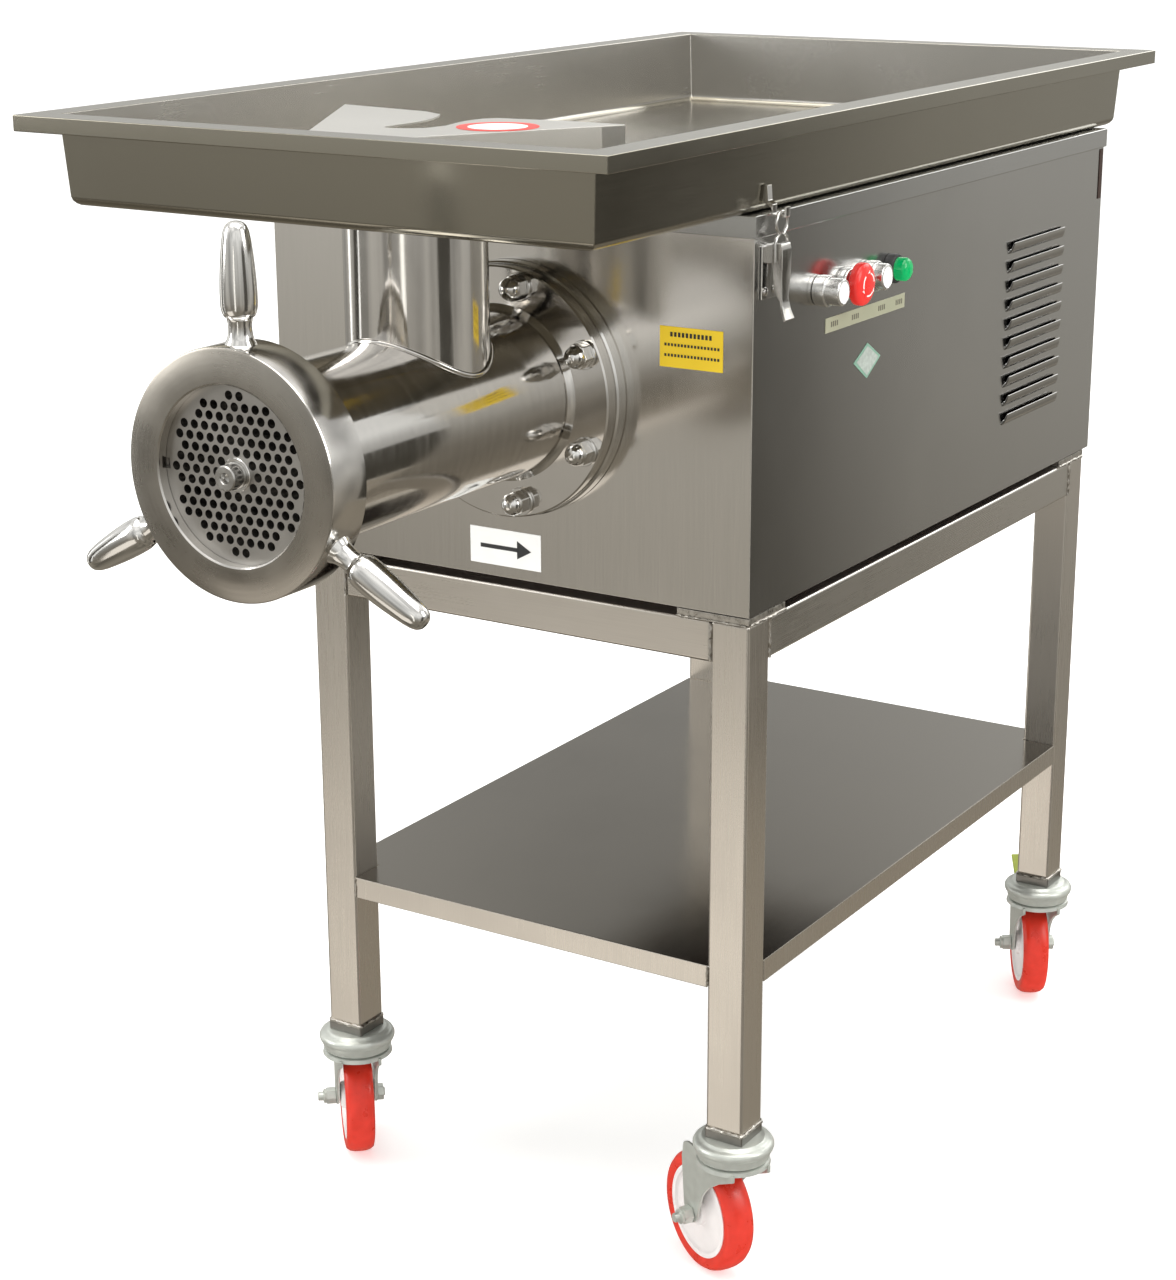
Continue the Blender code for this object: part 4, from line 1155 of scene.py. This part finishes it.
def make_tray():
    low, high = node_box("tray")
    floor_z = 1062.4
    rim_z = high[2]
    rim = ((-340.0, -287.0), (278.0, 886.0))
    body = ((-312.0, -259.0), (250.0, 858.0))
    inner_low = (body[0][0] + 2, body[0][1] + 2)
    inner_high = (body[1][0] - 2, body[1][1] - 2)
    tray = block("feed_tray", (*inner_low, floor_z + 2), (*inner_high, rim_z))
    open_mesh(tray)
    faces_where(tray, lambda middle, normal: normal.z > 0.9)
    bpy.ops.mesh.delete(type="FACE")
    close_mesh()
    middle_x = (body[0][0] + body[1][0]) / 2
    middle_y = (body[0][1] + body[1][1]) / 2
    for vert in tray.data.vertices:
        x, y, z = here(vert.co)
        if z < floor_z + 5:
            vert.co.x -= math.copysign(5 * MM, x - middle_x)
            vert.co.y -= math.copysign(5 * MM, y - middle_y)
    open_mesh(tray)
    bpy.ops.mesh.select_mode(type="EDGE")
    bpy.ops.mesh.select_all(action="DESELECT")
    close_mesh()
    for edge in tray.data.edges:
        ends = [here(tray.data.vertices[i].co) for i in edge.vertices]
        edge.select = all(end[2] < floor_z + 5 for end in ends)
    bpy.ops.object.mode_set(mode="EDIT")
    bpy.ops.mesh.bevel(offset=7 * MM, segments=4, affect="EDGES")
    bpy.ops.mesh.select_all(action="DESELECT")
    bpy.ops.mesh.select_non_manifold(extend=False, use_wire=False, use_boundary=True, use_multi_face=False, use_non_contiguous=False, use_verts=False)
    wide_x = (rim[1][0] - rim[0][0]) / (inner_high[0] - inner_low[0])
    wide_y = (rim[1][1] - rim[0][1]) / (inner_high[1] - inner_low[1])
    centre = at(middle_x, middle_y, rim_z)
    bpy.ops.mesh.extrude_edges_move()
    bpy.ops.transform.resize(value=(wide_x, wide_y, 1), center_override=centre)
    bpy.ops.mesh.extrude_edges_move(TRANSFORM_OT_translate={"value": (0, 0, -14.5 * MM)})
    bpy.ops.mesh.select_all(action="SELECT")
    bpy.ops.mesh.normals_make_consistent(inside=False)
    close_mesh()
    apply_modifier(tray, "SOLIDIFY", thickness=2 * MM, offset=1 if walls_face_out(tray) else -1, use_even_offset=True)
    mouth = [(0, 1050), (58.5, 1050), (58.5, 1080), (0, 1080)]
    cut_away(tray, turned("mouth", mouth, "Z", (0, THROAT_Y, 0), 96))
    soften(tray, 0.9, 3, 40)
    # painted shade: floor, rim and outer walls take the darker copy of the steel, the inner walls the lighter one
    paint(tray, TRAY_SHADE_STEEL, TRAY_WALL_STEEL)
    for face in tray.data.polygons:
        x, y, z = here(face.center)
        steep = abs(face.normal.z) < 0.5 and floor_z + 4 < z
        inwards = face.normal.x * (x - middle_x) * (abs(face.normal.x) > 0.5) + face.normal.y * (y - middle_y) < 0
        face.material_index = int(steep and inwards)
    done(tray, "machine", None, ("tray",))
    neck = [(57.5, 1036.4), (59.5, 1036.4), (59.5, 1063.5), (62, 1064.4), (57.5, 1064.6)]
    done(turned("tray_neck", neck, "Z", (0, THROAT_Y, 0), 96, True), "machine", TRAY_SHADE_STEEL)
    catch_outline = [
        (248.4, 1068.4),
        (254, 1067),
        (254, 1060.4),
        (255.2, 1059.2),
        (268.4, 1059.2),
        (269.4, 1060.2),
        (269.4, 1068.5),
        (267.4, 1068.5),
        (267.4, 1062),
        (266.8, 1061.4),
        (256.8, 1061.4),
        (256.2, 1062),
        (256.2, 1069.6),
        (251.6, 1073),
        (250.6, 1086),
        (248.6, 1086),
    ]
    catch = cut_sheet("tray_catch", catch_outline, 8, "Y", (0, 21, 0), 0.5, 2)
    done(catch, "machine", TRIM_STEEL)


def walls_face_out(tray):
    """Whether the faces of the pan's walls look outwards."""
    for face in tray.data.polygons:
        x, y, z = here(face.center)
        if abs(face.normal.x) > 0.9 and abs(z - 1104) < 20:
            return (face.normal.x > 0) == (x > 0)
    return True


def make_guard():
    low, high = node_box("guard")
    top = high[2]
    outline = [
        (-64, -246),
        (-100, -177),
        (-227, 46),
        (-118, 29),
        (-92, 15),
        (-84, 0),
        (-77, -18),
        (-73, -38),
        (-72, -59),
        (-74, -94),
        (-70, -103),
        (-62, -106),
        (-45, -101),
        (-33, -90),
        (-29, -66),
        (-34, -44),
        (-37, -24),
        (-35, -1),
        (-25, 12),
        (47, 22),
        (106, 21),
        (-15, -180),
        (-54, -245),
    ]
    guard = cut_sheet("guard_plate", outline, 2, "Z", (0, 0, top - 2), 0.5, 2)
    fold_low = Vector((-54, -245))
    fold_high = Vector((106, 21))
    along = (fold_high - fold_low).normalized()
    inward = Vector((-along.y, along.x))

    def fold_strip(name, start, end, bottom):
        a = fold_low + along * start
        b = fold_low + along * end
        points = [a, b, b + inward * 2, a + inward * 2]
        return cut_sheet(name, [(p.x, p.y) for p in points], top - 0.6 - bottom, "Z", (0, 0, bottom), 0.5, 2)

    length = (fold_high - fold_low).length
    for piece in (
        fold_strip("flange", 0, length, top - 30),
        fold_strip("foot", length - 24, length, low[2]),
        fold_strip("foot", 0, 22, low[2]),
        cut_sheet("foot", [(-222, 40), (-219, 38), (-207, 17), (-210, 15)], top - 1 - low[2], "Z", (0, 0, low[2]), 0.4, 1),
    ):
        guard = weld_together(guard, piece)
    done(guard, "guard", GUARD_STEEL, ("guard",))

    spot = (18.0, -52.0, 0)
    red = turned("guard_sticker_ring", [(27, top + 0.1), (37, top + 0.1), (37, top + 0.5), (27, top + 0.5)], "Z", spot, 64, True)
    done(red, "guard", RED_PRINT)
    white = turned("guard_sticker_disc", [(0, top + 0.1), (27, top + 0.1), (27, top + 0.4), (0, top + 0.4)], "Z", spot, 64)
    done(white, "guard", WHITE_PRINT)


# ---------------------------------------------------------------- latch

LATCH = (263.0, 25.0, 1032.0)


def make_latch():
    low, high = node_box("latch_base")
    base = block("latch_plate", (250.3, low[1], 987), (252.3, high[1], 1034), 0.7, 2)
    for offset in (-5.5, 3.5):
        ear = cut_sheet(
            "ear",
            [(251, 1018), (251, 1034), (259, 1035.4), (263, 1035.4), (265.4, 1034.4), (266.4, 1032), (265.4, 1029.6), (262, 1020)],
            2,
            "Y",
            (0, LATCH[1] + offset, 0),
            0.4,
            2,
        )
        base = weld_together(base, ear)
    for dy, z in ((-9, 994), (9, 994)):
        rivet = turned("rivet", [(0, 252), (4, 252), (3.6, 253.6), (2, 254.4), (0, 254.6)], "X", (0, LATCH[1] + dy, z), 24)
        base = weld_together(base, rivet)
    done(base, "machine", TRIM_STEEL, ("latch_base",))

    side = [(-2.5, 4.5), (2, 5), (4.5, 4.5), (6, -2), (5.6, -24), (5, -44), (7, -54), (10, -62), (8, -63.5), (4.6, -55)]
    side += [(2, -46), (-1, -42), (-3, -38), (-4.5, -12), (-4.5, -2)]
    lever = cut_sheet("latch_lever_body", side, 17, "Y", (LATCH[0], LATCH[1] - 8.5, LATCH[2]), 0.5, 2)
    channel = block(
        "channel",
        (LATCH[0] - 20, LATCH[1] - 6.8, LATCH[2] - 40),
        (LATCH[0] + 4.0, LATCH[1] + 6.8, LATCH[2] + 20),
    )
    cut_away(lever, channel)
    for vert in lever.data.vertices:
        x, y, z = here(vert.co)
        drop = LATCH[2] - z
        pinch = 1 - 0.34 * max(0.0, 1 - abs(drop - 46) / 14)
        vert.co.y = FRONT_Y + (LATCH[1] + (y - LATCH[1]) * pinch) * MM
    smooth(lever, 40)
    barrel = turned("pivot", [(0, -8.4), (3.6, -8.4), (4.2, -7.8), (4.2, 7.8), (3.6, 8.4), (0, 8.4)], "Y", LATCH, 32)
    lever = weld_together(lever, barrel)
    done(lever, "latch_lever", TRIM_STEEL, ("latch_lever",))

    x, y, z = LATCH[0], LATCH[1], LATCH[2] - 10
    half = [(10.8, -1.2), (10.8, 14), (10.6, 16.5), (9.4, 19), (6.6, 20.9), (3.6, 22.2)]
    half += [
        (10 * math.cos(math.radians(a)), 32 + 10 * math.sin(math.radians(a))) for a in range(-60, 90, 6)
    ]
    path = half + [(0, 42)] + [(-u, v) for u, v in reversed(half)]
    hook = wire("latch_wire_hook", [(x, y + u, z + v) for u, v in path], 1.5, sides=5)
    done(hook, "latch_hook", TRIM_STEEL, ("latch_hook",))


# ---------------------------------------------------------------- controls and labels

def make_controls():
    z = CONTROL_Z
    places = CONTROL_Y
    bezel = [
        (12.9, 0.3),
        (13.6, 0.3),
        (14, 0.8),
        (14, 3.6),
        (14.5, 4.2),
        (14.5, 11.6),
        (14.2, 12.6),
        (13.6, 13.2),
        (12.9, 13.2),
    ]
    for name, reach, nodes in (("start", 27.0, "start_button"), ("reverse", 22.7, "reverse_button")):
        ring = turned(name + "_bezel_ring", bezel, "X", (FACE_X, places[name], z), 64, True)
        done(ring, "machine", BUTTON_STEEL, (name + "_bezel",))
        cap = [(0, 2.3), (12.5, 2.3), (12.5, reach - 1.7), (12.2, reach - 0.8), (11.3, reach - 0.2)]
        cap += [(10.4, reach - 0.1), (10.0, reach - 0.5), (0, reach - 0.5)]
        button = turned(name + "_button_cap", cap, "X", (FACE_X, places[name], z), 64)
        done(button, nodes, BUTTON_STEEL, (nodes,))
        dot = [(0, reach - 0.45), (9.8, reach - 0.45), (9.7, reach - 0.2), (0, reach - 0.15)]
        face = turned(name + "_button_face", dot, "X", (FACE_X, places[name], z), 48)
        done(face, nodes, WHITE_PRINT)

    y = places["stop"]
    collar = [(8.4, 0.3), (14.2, 0.3), (14.5, 0.8), (14.5, 8.8), (13.8, 9.8), (12.6, 10.3), (8.4, 10.3)]
    done(
        turned("stop_bezel_ring", collar, "X", (FACE_X, y, z), 64, True),
        "machine",
        BUTTON_STEEL,
        ("stop_bezel",),
    )
    head = [
        (0, 1.3),
        (8, 1.3),
        (8, 14.5),
        (12, 14.7),
        (18.6, 15),
        (19.7, 15.8),
        (20, 17),
        (20, 21.4),
        (19.6, 22.8),
        (18.4, 24.2),
        (16, 25.6),
        (12, 26.8),
        (8, 27.4),
        (0, 27.7),
    ]
    mushroom = turned("stop_mushroom_cap", head, "X", (FACE_X, y, z), 80, angle=50)
    done(mushroom, "stop_button", RED_CAP, ("stop_mushroom",))
    for i in range(3):
        arc = []
        for k in range(9):
            angle = math.radians(120 * i + 10 + 8 * k)
            arc.append((FACE_X + 26.6, y + 10.5 * math.cos(angle), z + 10.5 * math.sin(angle)))
        stroke = wire("stop_turn_mark_" + str(i + 1), arc, 0.9, sides=2)
        tip = math.radians(120 * i + 10 + 78)
        head_points = [(-2.6, -0.2), (2.6, -0.2), (0, 3.6)]
        arrow = cut_sheet("tip", head_points, 0.5, "X", (0, 0, 0))
        spin = Matrix.Rotation(tip, 4, "X")
        place = at(FACE_X + 26.5, y + 10.5 * math.cos(tip - 0.1), z + 10.5 * math.sin(tip - 0.1))
        arrow.data.transform(Matrix.Translation(place) @ spin @ Matrix.Translation(-at(0, 0, 0)))
        stroke = weld_together(stroke, arrow)
        done(stroke, "stop_button", WHITE_PRINT)

    y = places["lamp"]
    collar = [(11.4, 0.3), (14, 0.3), (14, 8.4), (13.2, 9.6), (11.4, 10)]
    done(turned("lamp_collar", collar, "X", (FACE_X, y, z), 64, True), "machine", DARK_PLASTIC)
    lens = [(0, 2), (11.3, 2), (11.3, 17.6), (10.6, 19.4), (9, 21.2), (6, 22.2), (0, 22.8)]
    lamp = turned("run_lamp_lens", lens, "X", (FACE_X, y, z), 64, angle=50)
    done(lamp, "machine", GREEN_LENS, ("run_lamp",))


def label(name, low, high, finish):
    return done(block(name, low, high, 0.15, 1), "machine", finish)


def make_labels():
    strip_x = (FACE_X + 0.1, FACE_X + 0.45)
    label("control_strip", (strip_x[0], 138, 937), (strip_x[1], 306, 951), PALE_LABEL)
    marks = None
    for y in (156, 199, 255, 293):
        for k in range(4):
            mark = block("mark", (strip_x[0], y - 7 + k * 4, 941.5), (strip_x[1] + 0.15, y - 4.9 + k * 4, 946.5))
            marks = weld_together(marks, mark) if marks else mark
    marks.name = "control_strip_marks"
    done(marks, "machine", STRIP_PRINT)

    corners = [(227, 914.5), (256, 897.5), (227, 880), (198, 899)]
    badge = cut_sheet("diamond_badge", corners, 0.35, "X", (strip_x[0], 0, 0), 0.12, 1)
    done(badge, "machine", MINT_LABEL)
    inner = cut_sheet("diamond_badge_face", [(227, 911.5), (251, 897.5), (227, 883), (204, 899)], 0.2, "X", (strip_x[1] + 0.02, 0, 0))
    done(inner, "machine", BADGE_FACE)

    front_y = (-0.45, -0.1)
    label("front_notice", (155, front_y[0], 921), (220, front_y[1], 958), YELLOW_LABEL)
    lines = None
    for row, (start, end, tall) in enumerate(((166, 209, 4.2), (160, 215, 2.6), (160, 215, 2.6))):
        z = 951 - row * 9.5
        x = start
        while x < end:
            width = 3.4 if row else 4.0
            bar = block("bar", (x, front_y[0] - 0.15, z - tall / 2), (x + width * 0.62, front_y[0] + 0.1, z + tall / 2))
            lines = weld_together(lines, bar) if lines else bar
            x += width
    lines.name = "front_notice_lines"
    done(lines, "machine", BLACK_PRINT)

    label("turn_label", (-56, front_y[0], 709), (25, front_y[1], 745), WHITE_PRINT)
    shaft = block("turn_arrow", (-44, front_y[0] - 0.2, 725), (0, front_y[0] + 0.1, 729))
    head_points = [(-2, 718), (14, 727), (-2, 736)]
    head = cut_sheet("arrow_head", head_points, 0.3, "Y", (0, front_y[0] - 0.2, 0))
    done(weld_together(shaft, head), "machine", BLACK_PRINT)


# ---------------------------------------------------------------- hidden drive parts keep their CAD shape

for place in PLACES:
    make_leg(place)
    make_castor(place)
make_rails()
make_shelf()
make_casing()
make_lid()
make_gland()
make_flange()
make_barrel()
make_cap_nuts()
make_plate()
make_ring_nut()
make_screw()
make_tray()
make_guard()
make_latch()
make_controls()
make_labels()

for name, finish in (
    ("motor", MOTOR_PAINT),
    ("gear_case", CASE_IRON),
    ("gear_cover", CASE_IRON),
    ("drive_gear", GEAR_STEEL),
    ("pinion", GEAR_STEEL),
    ("knife", TRIM_STEEL),
):
    paint(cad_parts[name], finish)
